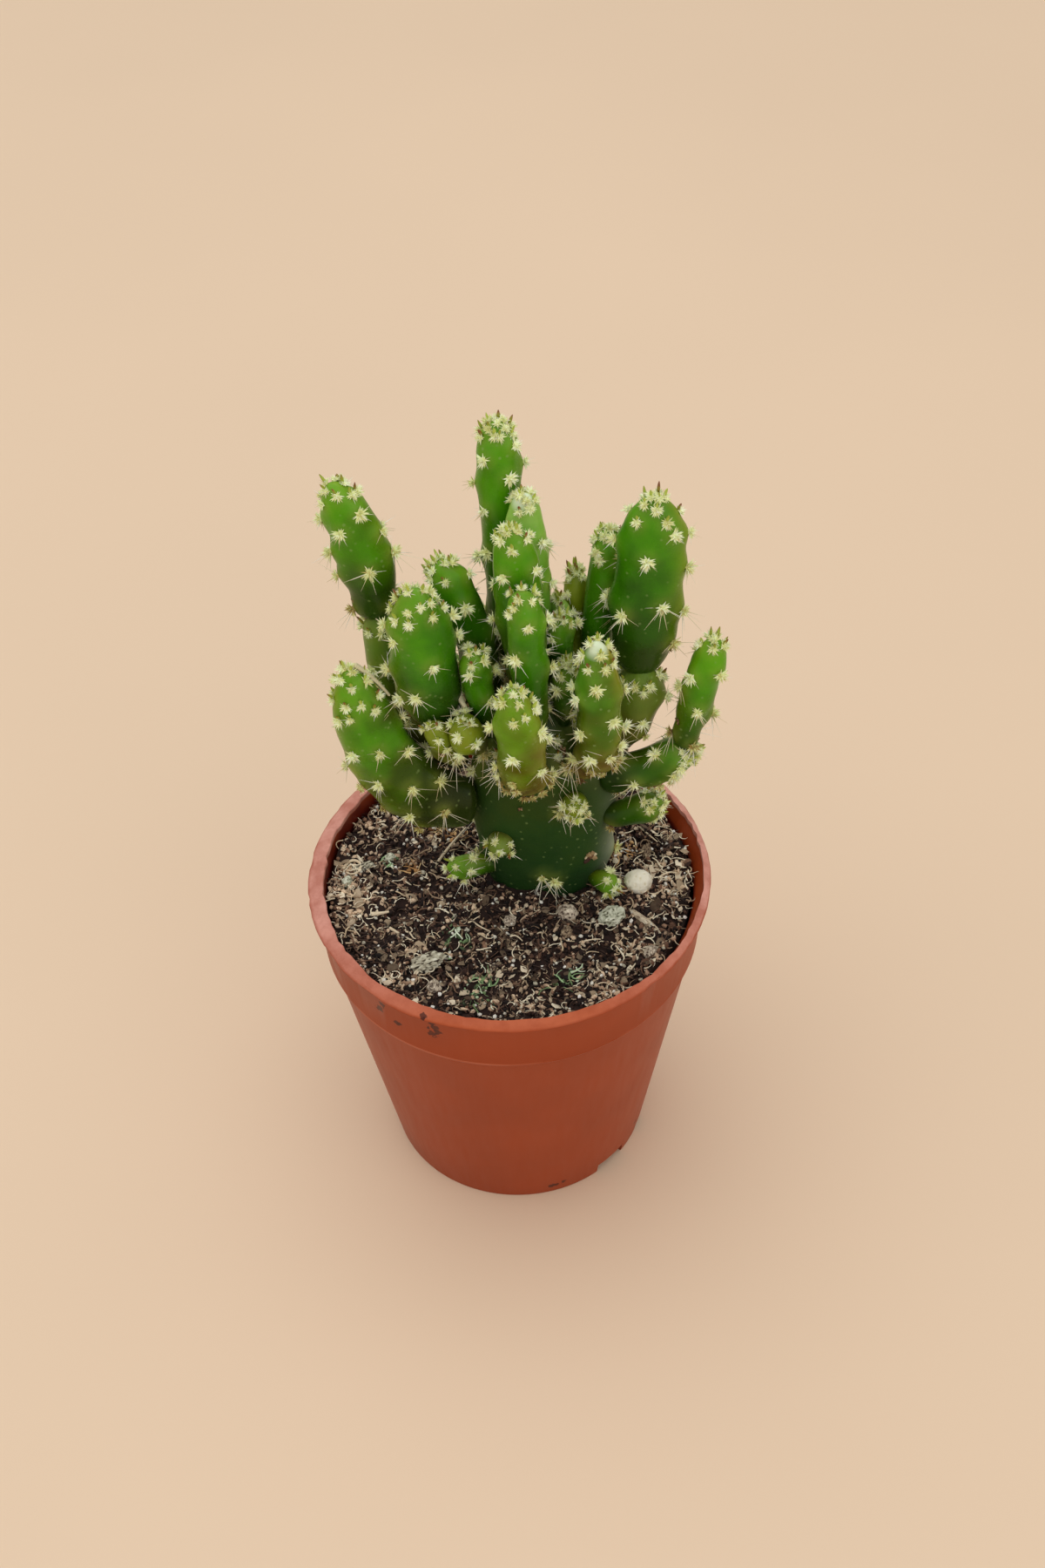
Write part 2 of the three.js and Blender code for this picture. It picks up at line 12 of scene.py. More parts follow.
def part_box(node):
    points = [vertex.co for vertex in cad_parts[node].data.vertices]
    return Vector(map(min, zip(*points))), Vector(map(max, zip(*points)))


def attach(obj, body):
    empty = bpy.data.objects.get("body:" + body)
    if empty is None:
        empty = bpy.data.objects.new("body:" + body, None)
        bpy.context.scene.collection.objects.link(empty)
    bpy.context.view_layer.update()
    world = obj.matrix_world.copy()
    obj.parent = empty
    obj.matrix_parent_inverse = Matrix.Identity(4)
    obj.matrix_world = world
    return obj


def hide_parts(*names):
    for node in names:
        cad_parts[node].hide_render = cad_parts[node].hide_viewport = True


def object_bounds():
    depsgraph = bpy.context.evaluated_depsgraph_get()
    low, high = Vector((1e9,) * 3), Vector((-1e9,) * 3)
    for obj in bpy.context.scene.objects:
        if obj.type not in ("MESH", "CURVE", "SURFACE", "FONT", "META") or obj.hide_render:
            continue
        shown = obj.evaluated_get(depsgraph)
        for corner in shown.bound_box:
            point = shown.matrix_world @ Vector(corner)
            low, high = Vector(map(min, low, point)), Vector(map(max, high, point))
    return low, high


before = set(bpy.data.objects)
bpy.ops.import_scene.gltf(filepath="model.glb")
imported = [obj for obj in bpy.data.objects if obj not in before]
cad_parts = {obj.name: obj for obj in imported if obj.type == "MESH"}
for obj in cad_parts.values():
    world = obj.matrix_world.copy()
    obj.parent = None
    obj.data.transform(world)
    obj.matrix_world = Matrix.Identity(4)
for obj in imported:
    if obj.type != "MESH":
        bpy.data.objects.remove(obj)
CAD_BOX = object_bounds()

bl_info = {
    "name": "Potted paddle cactus",
    "version": (1, 0, 0),
    "blender": (4, 5, 0),
    "location": "3D View > Sidebar > Cactus",
    "description": "Flesh, wool, spines, soil and pot of a small potted paddle cactus",
    "category": "Add Mesh",
}

MM = 0.001
TURN = math.tau
SEED = 41

# The photograph's camera, in metres, and the frame that it is fitted to
PHOTO_WIDTH, PHOTO_HEIGHT = 1200, 1800
SENSOR = 36.0
LENS = 48.125
CAMERA_PLACE = Vector((0.0023, -0.1934, 0.2593))
CAMERA_RIGHT = Vector((0.99921, -0.02806, -0.02813))
CAMERA_UP = Vector((0.03973, 0.7057, 0.7073))
CAMERA_BACK = Vector((0.0, -0.7079, 0.7063))

# The stage: half the floor's side, how much its clouds darken it, where the lights aim, and each light's
# name, place and size
FLOOR_HALF = 3.0
FLOOR_DIM = 0.97
LIGHT_AIM = Vector((0, 0, 0.06))
LIGHTS = (("key", (-0.16, 0.1, 0.85), 1.1), ("fill", (0.5, -0.65, 0.5), 0.9))

# The pot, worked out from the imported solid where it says
POT_LOW, POT_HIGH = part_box("pot")
SOIL_LOW, SOIL_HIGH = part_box("soil")
RIM_RADIUS = POT_HIGH.y
POT_HEIGHT = POT_HIGH.z
LIP_WIDTH = 2.3 * MM
LIP_DROP = 0.7 * MM
LIP_TRIM = 0.6 * MM
LIP_TRIM_SIDE = math.radians(-12)
COLLAR_FOOT_RADIUS = 25.9 * MM
COLLAR_FOOT_HEIGHT = 40.5 * MM
STEP_DEPTH = 0.5 * MM
STEP_HEIGHT = 0.8 * MM
BASE_RADIUS = 18.7 * MM
WALL = 0.9 * MM
POT_DIM = 0.88
INNER_WALL = COLLAR_FOOT_RADIUS - WALL
CHANNEL_HEIGHT = 2.3 * MM
FOOT_DISC_RADIUS = 8 * MM
FOOT_RING_WIDTH = 1.9 * MM
# Notches in the foot ring: the angle in degrees, the width and the height in millimetres
FOOT_NOTCHES = ((-46, 5.2, 2.0), (134, 5.2, 2.0), (-21, 2.4, 1.5), (159, 2.4, 1.5))
NOTCH_DEPTH = 6 * MM
DRAIN_ANGLES = (0, 90, 180, 270)
DRAIN_RADIUS = 2 * MM
DRAIN_CIRCLE = 12.5 * MM
DRAIN_DEPTH = 4 * MM
POT_STEPS = 160
# The lip's raggedness: waves round it by their rate and share, its swing, and how far it wears and rises
RAGGED_WAVES = ((22, 0.6), (60, 0.4))
SWING_RATE = 5
LIP_EDGE = 0.15
EDGE_WEAR = (0.1, 0.4, 0.25)
INNER_WEAR = (0.42, 0.35)
LIP_RISE = (0.16, 0.14)
SHARP_ANGLE = math.radians(28)

# The soil's level over the floor, the waves of its surface and the banks at the wall
SOIL_LEVEL = 46.5 * MM
SOIL_RELIEF = 0.45 * MM
SOIL_WAVES = ((0.52, 0.21, 0.4), (-0.33, 0.47, 1.9), (0.9, -0.74, 3.1), (-1.15, -0.62, 5.2))
WAVE_FADE = 0.4
SOIL_EDGE = 24.6 * MM
BANK_START = 21.5 * MM
BANK_RIGHT = 1.3 * MM
BANK_LEFT = 0.8 * MM

# How far the skin lies under the outline between areoles, rises and pales round one, and swells in waves
SKIN_DEPTH = 0.3 * MM
TUBERCLE_REACH = 1.7 * MM
HALO_REACH = 1.15 * MM
SWELL_WIDTH = 6 * MM
SWELL_RISE = 0.2 * MM

# Segments: rings and sides of their flesh, and where the round tip and heel begin
STATIONS = 24
TIP_SHOULDER = 0.7
HEEL = 0.08
TIP_NARROWING = 0.24
CAP_LENGTH = 0.62


def linear(hex_colour, alpha=1.0):
    """A colour written as sRGB hex, in the linear values that Blender works with."""
    parts = [int(hex_colour[i:i + 2], 16) / 255 for i in (1, 3, 5)]
    return (*[c / 12.92 if c <= 0.04045 else ((c + 0.055) / 1.055) ** 2.4 for c in parts], alpha)


# Sockets of a Mix node that lays one colour over another
SHARE, UNDER, OVER = 0, 6, 7


def add(tree, kind, values=None, links=None, stops=None, **settings):
    """Adds a shader node with its settings, socket values, colour stops and incoming links. A link from a
    whole node comes from its first output in use."""
    node = tree.nodes.new("ShaderNode" + kind)
    for name, value in settings.items():
        setattr(node, name, value)
    for socket, value in (values or {}).items():
        node.inputs[socket].default_value = value
    for socket, source in (links or {}).items():
        if isinstance(source, bpy.types.Node):
            source = next(output for output in source.outputs if output.enabled)
        tree.links.new(source, node.inputs[socket])
    if stops:
        elements = node.color_ramp.elements
        while len(elements) < len(stops):
            elements.new(1.0)
        for element, (place, colour) in zip(elements, stops):
            element.position = place
            element.color = colour if len(colour) == 4 else linear(colour)
    return node


def new_material(name):
    """An empty node material. Returns it with its tree."""
    material = bpy.data.materials.new(name)
    material.use_nodes = True
    material.node_tree.nodes.clear()
    return material, material.node_tree


def surface(tree, values, links):
    """The main shader and the material's output."""
    add(tree, "OutputMaterial", links={"Surface": add(tree, "BsdfPrincipled", values, links)})


def soil_top(x, y):
    """Height of the soil at a place, all in metres."""
    rise = sum(
        math.sin(across * x / MM + deep * y / MM + start) * SOIL_RELIEF / (1 + WAVE_FADE * i)
        for i, (across, deep, start) in enumerate(SOIL_WAVES)
    )
    radius = math.hypot(x, y)
    near = min(1.0, max(0.0, (radius - BANK_START) / (SOIL_EDGE - BANK_START)))
    bank = (BANK_RIGHT if x > 0 else BANK_LEFT) * near * (x / radius) ** 2 if near else 0.0
    return SOIL_LEVEL + rise + bank


def finish_mesh(name, bm, materials, slot, replaces=(), attributes=None, smooth=True):
    """Turns a bmesh into a finished piece that rides with the pot."""
    mesh = bpy.data.meshes.new(name)
    bm.to_mesh(mesh)
    bm.free()
    for material in materials:
        mesh.materials.append(material)
    for polygon in mesh.polygons:
        polygon.use_smooth = smooth
    for key, values in (attributes or {}).items():
        layer = mesh.attributes.new(key, "FLOAT", "POINT")
        layer.data.foreach_set("value", np.asarray(values, np.float32))
    piece = bpy.data.objects.new(name, mesh)
    bpy.context.scene.collection.objects.link(piece)
    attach(piece, "root")
    if replaces:
        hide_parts(*replaces)
    return piece


def gather(name, copies, material, slot, smooth=False):
    """One piece made of copies of small meshes, each placed by a matrix. Points carry the copy's tone and
    their own difference from it."""
    bm = bmesh.new()
    tones = []
    for (template, own_tones), matrix, tone in copies:
        mesh = template.copy()
        mesh.transform(matrix)
        bm.from_mesh(mesh)
        tones += [tone + own for own in own_tones]
        bpy.data.meshes.remove(mesh)
    return finish_mesh(name, bm, [material], slot, attributes={"tone": tones}, smooth=smooth)


def to_template(bm, name, tones=None):
    """Keeps a small bmesh as a mesh that gather() copies, with its points' own tones."""
    mesh = bpy.data.meshes.new(name)
    bm.to_mesh(mesh)
    bm.free()
    return mesh, tones or [0.0] * len(mesh.vertices)


def in_order(bm):
    """Sorts a bmesh's faces by their points, since Blender makes them in another order each time."""
    bm.verts.index_update()
    count = len(bm.verts)
    bm.faces.sort(key=lambda face: sum(
        index * count ** i for i, index in enumerate(sorted(vert.index for vert in face.verts))))


def turned_to(direction, spin=0.0):
    """Rotation that stands +Z along a direction, turned about it by spin."""
    return direction.to_track_quat("Z", "Y").to_matrix().to_4x4() @ Matrix.Rotation(spin, 4, "Z")


class Segment:
    """A finger or paddle of flesh that grows from foot to tip through a bend, its sizes in millimetres.
    The sunny side, 1 for +X, -1 for -X and 0 for both, is the one that turns olive; one with -1 gets painted
    shade on its +X side."""

    def __init__(self, name, foot, tip, wide, thick, bend=None, faces=-90, neck=0.5, belly=0.5,
                 taper=0.0, turn=0.0, skin="green", spines=1.0, sunny=0):
        self.name = name
        self.foot = Vector(foot) * MM
        self.tip = Vector(tip) * MM
        self.bend = Vector(bend) * MM if bend else (self.foot + self.tip) / 2
        self.wide = wide * MM
        self.thick = thick * MM
        self.look = Vector((math.cos(math.radians(faces)), math.sin(math.radians(faces)), 0))
        self.neck = neck
        self.belly = belly
        self.taper = taper
        self.turn = math.radians(turn)
        self.skin_kind = skin
        self.spines = spines
        self.bent = bend is not None
        self.sunny = sunny
        places = [i / STATIONS for i in range(STATIONS + 1)]
        self.length = sum((self.centre(b) - self.centre(a)).length for a, b in zip(places, places[1:]))
        self.cap = max(0.5, 1 - CAP_LENGTH * self.wide / self.length)
        self.stations = [(self.centre(s), *self.axes(s), self.girth(s)) for s in places]

    def centre(self, s):
        return self.foot * (1 - s) ** 2 + self.bend * 2 * s * (1 - s) + self.tip * s * s

    def axes(self, s):
        """Along, across the width and through the thickness."""
        along = ((self.bend - self.foot) * (1 - s) + (self.tip - self.bend) * s).normalized()
        across = along.cross(self.look).normalized()
        return along, across, across.cross(along)

    def girth(self, s):
        swell = self.neck + (1 - self.neck) * math.sin(math.pi / 2 * min(s / self.belly, 1))
        slim = 1 - self.taper * max(0.0, s - self.belly) / (1 - self.belly)
        past = max(0.0, s - TIP_SHOULDER) / (1 - TIP_SHOULDER)
        over = max(0.0, s - self.cap) / (1 - self.cap)
        under = max(0.0, HEEL - s) / HEEL
        narrowed = 1 - TIP_NARROWING * past ** 2
        return swell * slim * narrowed * math.sqrt(max(0.0, (1 - over ** 2) * (1 - under ** 2)))

    def skin(self, s, angle):
        _, across, through = self.axes(s)
        size = self.girth(s) / 2
        return (self.centre(s) + across * math.cos(angle) * self.wide * size
                + through * math.sin(angle) * self.thick * size)

    def normal(self, s, angle, step=0.02):
        rise = self.skin(min(s + step, 1), angle) - self.skin(max(s - step, 0), angle)
        side = self.skin(s, angle + step) - self.skin(s, angle - step)
        out = side.cross(rise)
        if out.length < 1e-12:
            return self.axes(s)[0]
        out.normalize()
        return -out if out.dot(self.skin(s, angle) - self.centre(s)) < 0 else out

    def hides(self, areole):
        """Whether an areole lies on the shaded underside of a bent segment."""
        return areole.normal.z < UNDERSIDE and self.bent

    def share(self, point):
        """How far along the segment a point lies, from 0 at its foot to 1 at its tip."""
        gaps = [(point - station[0]).length for station in self.stations]
        return gaps.index(min(gaps)) / STATIONS


def near_flesh(segment, points, margin):
    """For each point, whether it lies in a segment's flesh or within a margin of it."""
    middles = np.array([station[0] for station in segment.stations])
    along, across, through = (np.array([station[i] for station in segment.stations]) for i in (1, 2, 3))
    girths = np.array([station[4] for station in segment.stations])
    offsets = np.asarray(points)[:, None, :] - middles[None]
    reach = np.abs(np.einsum("nsk,sk->ns", offsets, along)) <= segment.length / STATIONS + margin
    wide = np.einsum("nsk,sk->ns", offsets, across) / (segment.wide / 2 * girths + margin)
    deep = np.einsum("nsk,sk->ns", offsets, through) / (segment.thick / 2 * girths + margin)
    return ((wide ** 2 + deep ** 2 < 1) & reach).any(axis=1)


SEGMENTS = [
    Segment("trunk", (5.4, 3, 38), (5, 3, 78), 19.6, 11, neck=0.62, belly=0.55, turn=20, skin="old", sunny=1),
    Segment("paddle_low_left", (-3.5, 0.5, 63), (-18.4, -3, 90.4), 10.4, 7, bend=(-16, -1.5, 64), neck=0.75,
            belly=0.4, taper=0.26, turn=90, skin="weathered", sunny=-1),
    Segment("neck_left", (-4.5, 3, 67.5), (-14.9, 5, 93), 6, 5.4, bend=(-13.2, 4, 72), skin="dull"),
    Segment("paddle_tall_left", (-14.9, 5, 91), (-18.8, 5, 112.2), 7.2, 5.8, bend=(-14.8, 5, 103), belly=0.4,
            taper=0.22, skin="bright"),
    Segment("paddle_broad_left", (-6.6, 0.6, 76), (-9.4, -2, 101.6), 8.4, 6.4, bend=(-9.6, -0.8, 82),
            neck=0.25, belly=0.5, turn=90, skin="green", sunny=-1),
    Segment("paddle_small_left", (-1.4, 4.6, 75.5), (-7, 4.4, 100.4), 5.4, 4.5, bend=(-2.2, 4.5, 90)),
    Segment("ball_front_left", (-3.5, -0.3, 74.5), (-4.7, -6.2, 82.2), 4.9, 4.9, skin="olive", spines=1.1),
    Segment("ball_left", (-6, 0, 70.5), (-8.6, -4.2, 81.6), 3.8, 3.8, skin="olive", spines=1.1),
    Segment("paddle_tallest", (1.8, 7, 75), (0.8, 10, 116.6), 5.8, 5.2, belly=0.55, turn=60),
    Segment("paddle_pale", (5, 5.6, 76), (3.7, 5.5, 109.4), 5.2, 4, turn=30, skin="pale"),
    Segment("paddle_centre_back", (4, 1.5, 75.5), (2.2, 1, 107.6), 6.2, 4.6, belly=0.6),
    Segment("paddle_centre", (4.2, -1.5, 74.5), (3.1, -3.5, 101.8), 5, 4.4, turn=90),
    Segment("paddle_centre_small", (-2, 0.3, 74.5), (-3.2, -2, 91.6), 4.2, 4),
    Segment("paddle_low_centre", (3, -0.5, 71), (1.6, -8, 90.4), 6.2, 5.4, bend=(2.8, -8.6, 70.6), neck=0.75,
            turn=90, skin="amber", sunny=1),
    Segment("neck_right", (11.5, 3, 70), (17.8, 3, 84.5), 6.6, 5.8, bend=(18, 3, 73), neck=0.6, skin="dull"),
    Segment("paddle_broad_right", (17.4, 3, 82), (19.2, 3, 110.2), 9.3, 6, bend=(18.6, 3, 96), neck=0.5,
            belly=0.42, taper=0.14, turn=45, sunny=1),
    Segment("paddle_right_behind", (11.3, 6, 73), (14, 8, 101.6), 4.6, 4.2),
    Segment("paddle_right_front", (9.8, 0, 70.6), (11.8, -3.5, 93.6), 5.9, 5, bend=(13, -5, 71.4), neck=0.75,
            turn=90, skin="tender", sunny=1),
    Segment("arm_right", (12, 1, 65.8), (24.8, 0, 72.4), 5.6, 5, bend=(19, 0, 67.8), neck=0.75, skin="deep"),
    Segment("finger_right", (23, 0, 71), (26.8, 0, 90.4), 4.8, 4.2, bend=(24.4, 0, 80), skin="bright"),
    Segment("finger_right_low", (12.6, 1, 59.5), (20.4, -0.6, 63.4), 4.6, 4.2, bend=(17, 0, 59.5),
            skin="deep"),
    Segment("bud_inner", (7.6, 4.8, 75), (7.9, 4, 91.6), 3.6, 3.4),
    Segment("bud_inner_dark", (8, 1.4, 75), (8.3, 0.8, 86.5), 4, 3.8, skin="deep"),
    Segment("bud_pale", (7.4, 7.6, 74), (7.6, 7.4, 91.6), 3, 3, skin="pale"),
    Segment("bud_olive", (10, 7, 73.5), (10, 10.4, 93.8), 3.4, 3.2, skin="olive"),
    Segment("paddle_back_left", (-2, 6, 69), (-10, 15, 80.5), 7.4, 5.4, bend=(-8, 13, 68), faces=120,
            neck=0.6),
    Segment("paddle_back_centre", (3, 7, 71), (3.4, 17.5, 90), 6.8, 5, bend=(3, 17, 71), faces=90, neck=0.6),
    Segment("paddle_back_right", (11.5, 6, 68), (17.5, 14.5, 87), 6.6, 5, bend=(17, 13.5, 68), faces=60,
            neck=0.6),
    Segment("paddle_back_low", (7, 7, 59), (8, 17, 72), 5.4, 4.6, bend=(7.5, 16, 58), faces=90),
    Segment("bud_back", (-0.5, 7, 58), (-2.5, 12.5, 61), 4, 3.8),
    Segment("bud_face_right", (8.8, -0.5, 64), (9.2, -5, 66), 4, 4, skin="olive", spines=1.05),
    Segment("bud_face_left", (-0.4, 0.8, 56.4), (-1.4, -3.6, 57.4), 3.8, 3.8, skin="dull"),
    Segment("bud_foot_left", (-1.2, 1.4, 50), (-8.6, -0.4, 51.4), 3.6, 3.2, neck=0.7, skin="bright"),
    Segment("bud_foot_right", (11, 0.6, 47.6), (14.6, -3, 48.6), 3.4, 3.2, neck=0.7, skin="bright"),
]
OLD_SEGMENTS = {"trunk"}
YOUNG_PREFIXES = ("bud", "ball")


def slot_of(segment):
    """The name of the record's finish for a segment."""
    if segment.name in OLD_SEGMENTS:
        return "old_flesh"
    return "young_flesh" if segment.name.startswith(YOUNG_PREFIXES) else "flesh"


# How far an areole faces down on an underside, and how much painted shade darkens the skin on undersides and
# on the inner side of a segment that leans to the left
UNDERSIDE = -0.3
UNDER_SHADE = 0.38
SIDE_SHADE = 0.24


class Areole:
    """A place on the skin where wool and spines grow. Its share runs from 0 at the foot to 1 at the tip."""

    def __init__(self, point, normal, share, height, crown=False):
        self.point = point
        self.normal = normal
        self.share = share
        self.height = height
        self.crown = crown

    def seat(self):
        """The top of the raised skin under the wool."""
        return self.point + self.normal * (self.height + unevenness(self.point))


class StageSettings(bpy.types.PropertyGroup):
    floor_colour: bpy.props.FloatVectorProperty(
        name="Floor colour", description="Colour of the plain floor", subtype="COLOR", size=4,
        min=0, max=1, default=linear("#edd2b4"))
    key_power: bpy.props.FloatProperty(
        name="Key light", description="Power of the large soft light", unit="POWER", default=3.5)
    fill_power: bpy.props.FloatProperty(
        name="Fill light", description="Power of the soft light from the front", unit="POWER", default=1.5)
    sky_strength: bpy.props.FloatProperty(
        name="Sky", description="Strength of the even light from all round", default=0.6)


class PotSettings(bpy.types.PropertyGroup):
    rim_radius: bpy.props.FloatProperty(
        name="Rim radius", description="Outer radius of the lip", unit="LENGTH", default=RIM_RADIUS)
    height: bpy.props.FloatProperty(
        name="Height", description="Height of the lip over the floor", unit="LENGTH", default=POT_HEIGHT)
    base_radius: bpy.props.FloatProperty(
        name="Base radius", description="Outer radius of the foot ring", unit="LENGTH", default=BASE_RADIUS)
    colour: bpy.props.FloatVectorProperty(
        name="Pot colour", description="Colour of the moulded plastic", subtype="COLOR", size=4,
        min=0, max=1, default=linear("#a04018"))
    # The pink that the lip's back turns to, a painted sky reflection
    lip_colour: bpy.props.FloatVectorProperty(
        name="Lip colour", description="Chalky pink of the scuffed lip", subtype="COLOR", size=4,
        min=0, max=1, default=linear("#dd9d8d"))


class SoilSettings(bpy.types.PropertyGroup):
    grains: bpy.props.IntProperty(
        name="Grains", description="Number of crumbs of peat on the surface", default=5200)
    fibres: bpy.props.IntProperty(
        name="Fibres", description="Number of curled fibres on the surface", default=3000)
    chips: bpy.props.IntProperty(
        name="Chips", description="Number of flat chips on the surface", default=460)
    specks: bpy.props.IntProperty(
        name="White specks", description="Number of white grains among the peat", default=460)
    grain_size: bpy.props.FloatProperty(
        name="Grain size", description="Usual radius of a crumb of peat", unit="LENGTH", default=0.34 * MM)


class PlantSettings(bpy.types.PropertyGroup):
    row_spacing: bpy.props.FloatProperty(
        name="Row spacing", description="Distance between rows of areoles", unit="LENGTH", default=4.4 * MM)
    areole_spacing: bpy.props.FloatProperty(
        name="Areole spacing", description="Distance between areoles in a row", unit="LENGTH",
        default=4.6 * MM)
    tubercle: bpy.props.FloatProperty(
        name="Tubercle height", description="How far the skin rises under an areole", unit="LENGTH",
        default=0.5 * MM)
    tuft_radius: bpy.props.FloatProperty(
        name="Tuft radius", description="Radius of a cushion of wool", unit="LENGTH", default=0.95 * MM)
    leaf_length: bpy.props.FloatProperty(
        name="Leaf length", description="Length of a pointed leaf at a tip", unit="LENGTH", default=1.3 * MM)
    spine_length: bpy.props.FloatProperty(
        name="Spine length", description="Length of a full-grown spine", unit="LENGTH", default=3.9 * MM)
    young_spine: bpy.props.FloatProperty(
        name="Young spine length", description="Length of a spine near a tip", unit="LENGTH",
        default=1.3 * MM)
    spine_radius: bpy.props.FloatProperty(
        name="Spine radius", description="Radius of a spine at its root", unit="LENGTH", default=0.072 * MM)


class CACTUS_OT_stage(bpy.types.Operator):
    """Camera at the photograph's angle, plain pale floor and soft light"""
    bl_idname = "cactus.stage"
    bl_label = "Stage"

    def execute(self, context):
        settings = context.scene.cactus_stage
        scene = context.scene
        scene.view_settings.view_transform = "Standard"
        camera = bpy.data.objects.new("camera", bpy.data.cameras.new("camera"))
        scene.collection.objects.link(camera)
        camera.data.sensor_width = SENSOR
        camera.data.lens = LENS
        camera.data.clip_start = 0.01
        axes = Matrix((CAMERA_RIGHT, CAMERA_UP, CAMERA_BACK)).transposed().to_4x4()
        camera.matrix_world = Matrix.Translation(CAMERA_PLACE) @ axes
        scene.camera = camera

        bm = bmesh.new()
        bmesh.ops.create_grid(bm, x_segments=1, y_segments=1, size=FLOOR_HALF)
        mesh, _ = to_template(bm, "floor")
        mesh.materials.append(floor_material(settings))
        floor = bpy.data.objects.new("floor", mesh)
        scene.collection.objects.link(floor)

        for (name, place, size), power in zip(LIGHTS, (settings.key_power, settings.fill_power)):
            light = bpy.data.lights.new(name, "AREA")
            light.size = size
            light.energy = power
            lamp = bpy.data.objects.new(name, light)
            scene.collection.objects.link(lamp)
            lamp.location = place
            lamp.rotation_euler = turned_to(Vector(place) - LIGHT_AIM).to_euler()
        world = bpy.data.worlds.new("soft sky")
        world.use_nodes = True
        world.node_tree.nodes.clear()
        sky = add(world.node_tree, "Background",
                  {"Color": linear("#fbf8f4"), "Strength": settings.sky_strength})
        add(world.node_tree, "OutputWorld", links={"Surface": sky})
        scene.world = world
        return {"FINISHED"}


def floor_material(settings):
    """Matt painted board: an even pale floor that shows no pattern, only a trace of unevenness."""
    material, tree = new_material("matt_painted_board")
    place = add(tree, "TexCoord").outputs["Object"]
    cloud = add(tree, "TexNoise", {"Scale": 1 / (167 * MM), "Detail": 3.0}, {"Vector": place})
    pale = tuple(settings.floor_colour)
    dim = (*[part * FLOOR_DIM for part in pale[:3]], 1.0)
    colour = add(tree, "ValToRGB", links={0: cloud}, stops=[(0.35, dim), (0.65, pale)])
    surface(tree, {"Roughness": 0.7}, {"Base Color": colour})
    return material


# Dried splashes of soil on the pot: the pixel of the photograph and the radius in millimetres
SPLASHES = (
    ((436, 1157), 0.75), ((439, 1154), 0.55), ((455, 1174), 0.6), ((459, 1176), 0.35), ((486, 1166), 0.6),
    ((490, 1170), 0.65), ((495, 1175), 0.6), ((499, 1180), 0.75), ((497, 1187), 0.75), ((502, 1185), 0.6),
    ((492, 1180), 0.35), ((634, 1361), 0.5), ((640, 1360), 0.4), ((648, 1356), 0.45), ((730, 1288), 0.5),
)
# Where the lip's top turns to its painted lighter colour, below its top, and where along Y the painted sky
# reflection that turns its back pale pink begins and is complete
LIT_LIP_LOW = 0.85 * MM
LIT_LIP_FULL = 0.55 * MM
SKY_REFLECTION_START = -25 * MM
SKY_REFLECTION_FULL = -6 * MM
# The painted highlight, a pale line along the collar's foot: its height over it and half its width
COLLAR_HIGHLIGHT_RISE = 0.1 * MM
COLLAR_HIGHLIGHT_HALF = 0.12 * MM
# The painted shade, a deeper red on the wall inside: its start and end past the inner wall, and its band over
# the soil
INNER_START = 0.4 * MM
INNER_FULL = 0.15 * MM
BAND_MIDDLE = 4.9 * MM
BAND_HALF = 4.1 * MM


def wall_at(x, y):
    """The place on the outside of the pot at a pixel of the photograph."""
    ray = pixel_ray(x, y)
    flat, start = ray.xy, CAMERA_PLACE.xy
    spread = (RIM_RADIUS - LIP_DROP - COLLAR_FOOT_RADIUS) / (POT_HEIGHT - LIP_DROP * 2 - COLLAR_FOOT_HEIGHT)
    slope = (COLLAR_FOOT_RADIUS - STEP_DEPTH - BASE_RADIUS) / (COLLAR_FOOT_HEIGHT - STEP_HEIGHT)
    radius = RIM_RADIUS
    for _ in range(6):
        half = start.dot(flat)
        square = half ** 2 - flat.length_squared * (start.length_squared - radius ** 2)
        place = CAMERA_PLACE - ray * ((half + math.sqrt(square)) / flat.length_squared)
        radius = COLLAR_FOOT_RADIUS + (place.z - COLLAR_FOOT_HEIGHT) * spread
        if place.z < COLLAR_FOOT_HEIGHT - STEP_HEIGHT:
            radius = BASE_RADIUS + place.z * slope
    return place


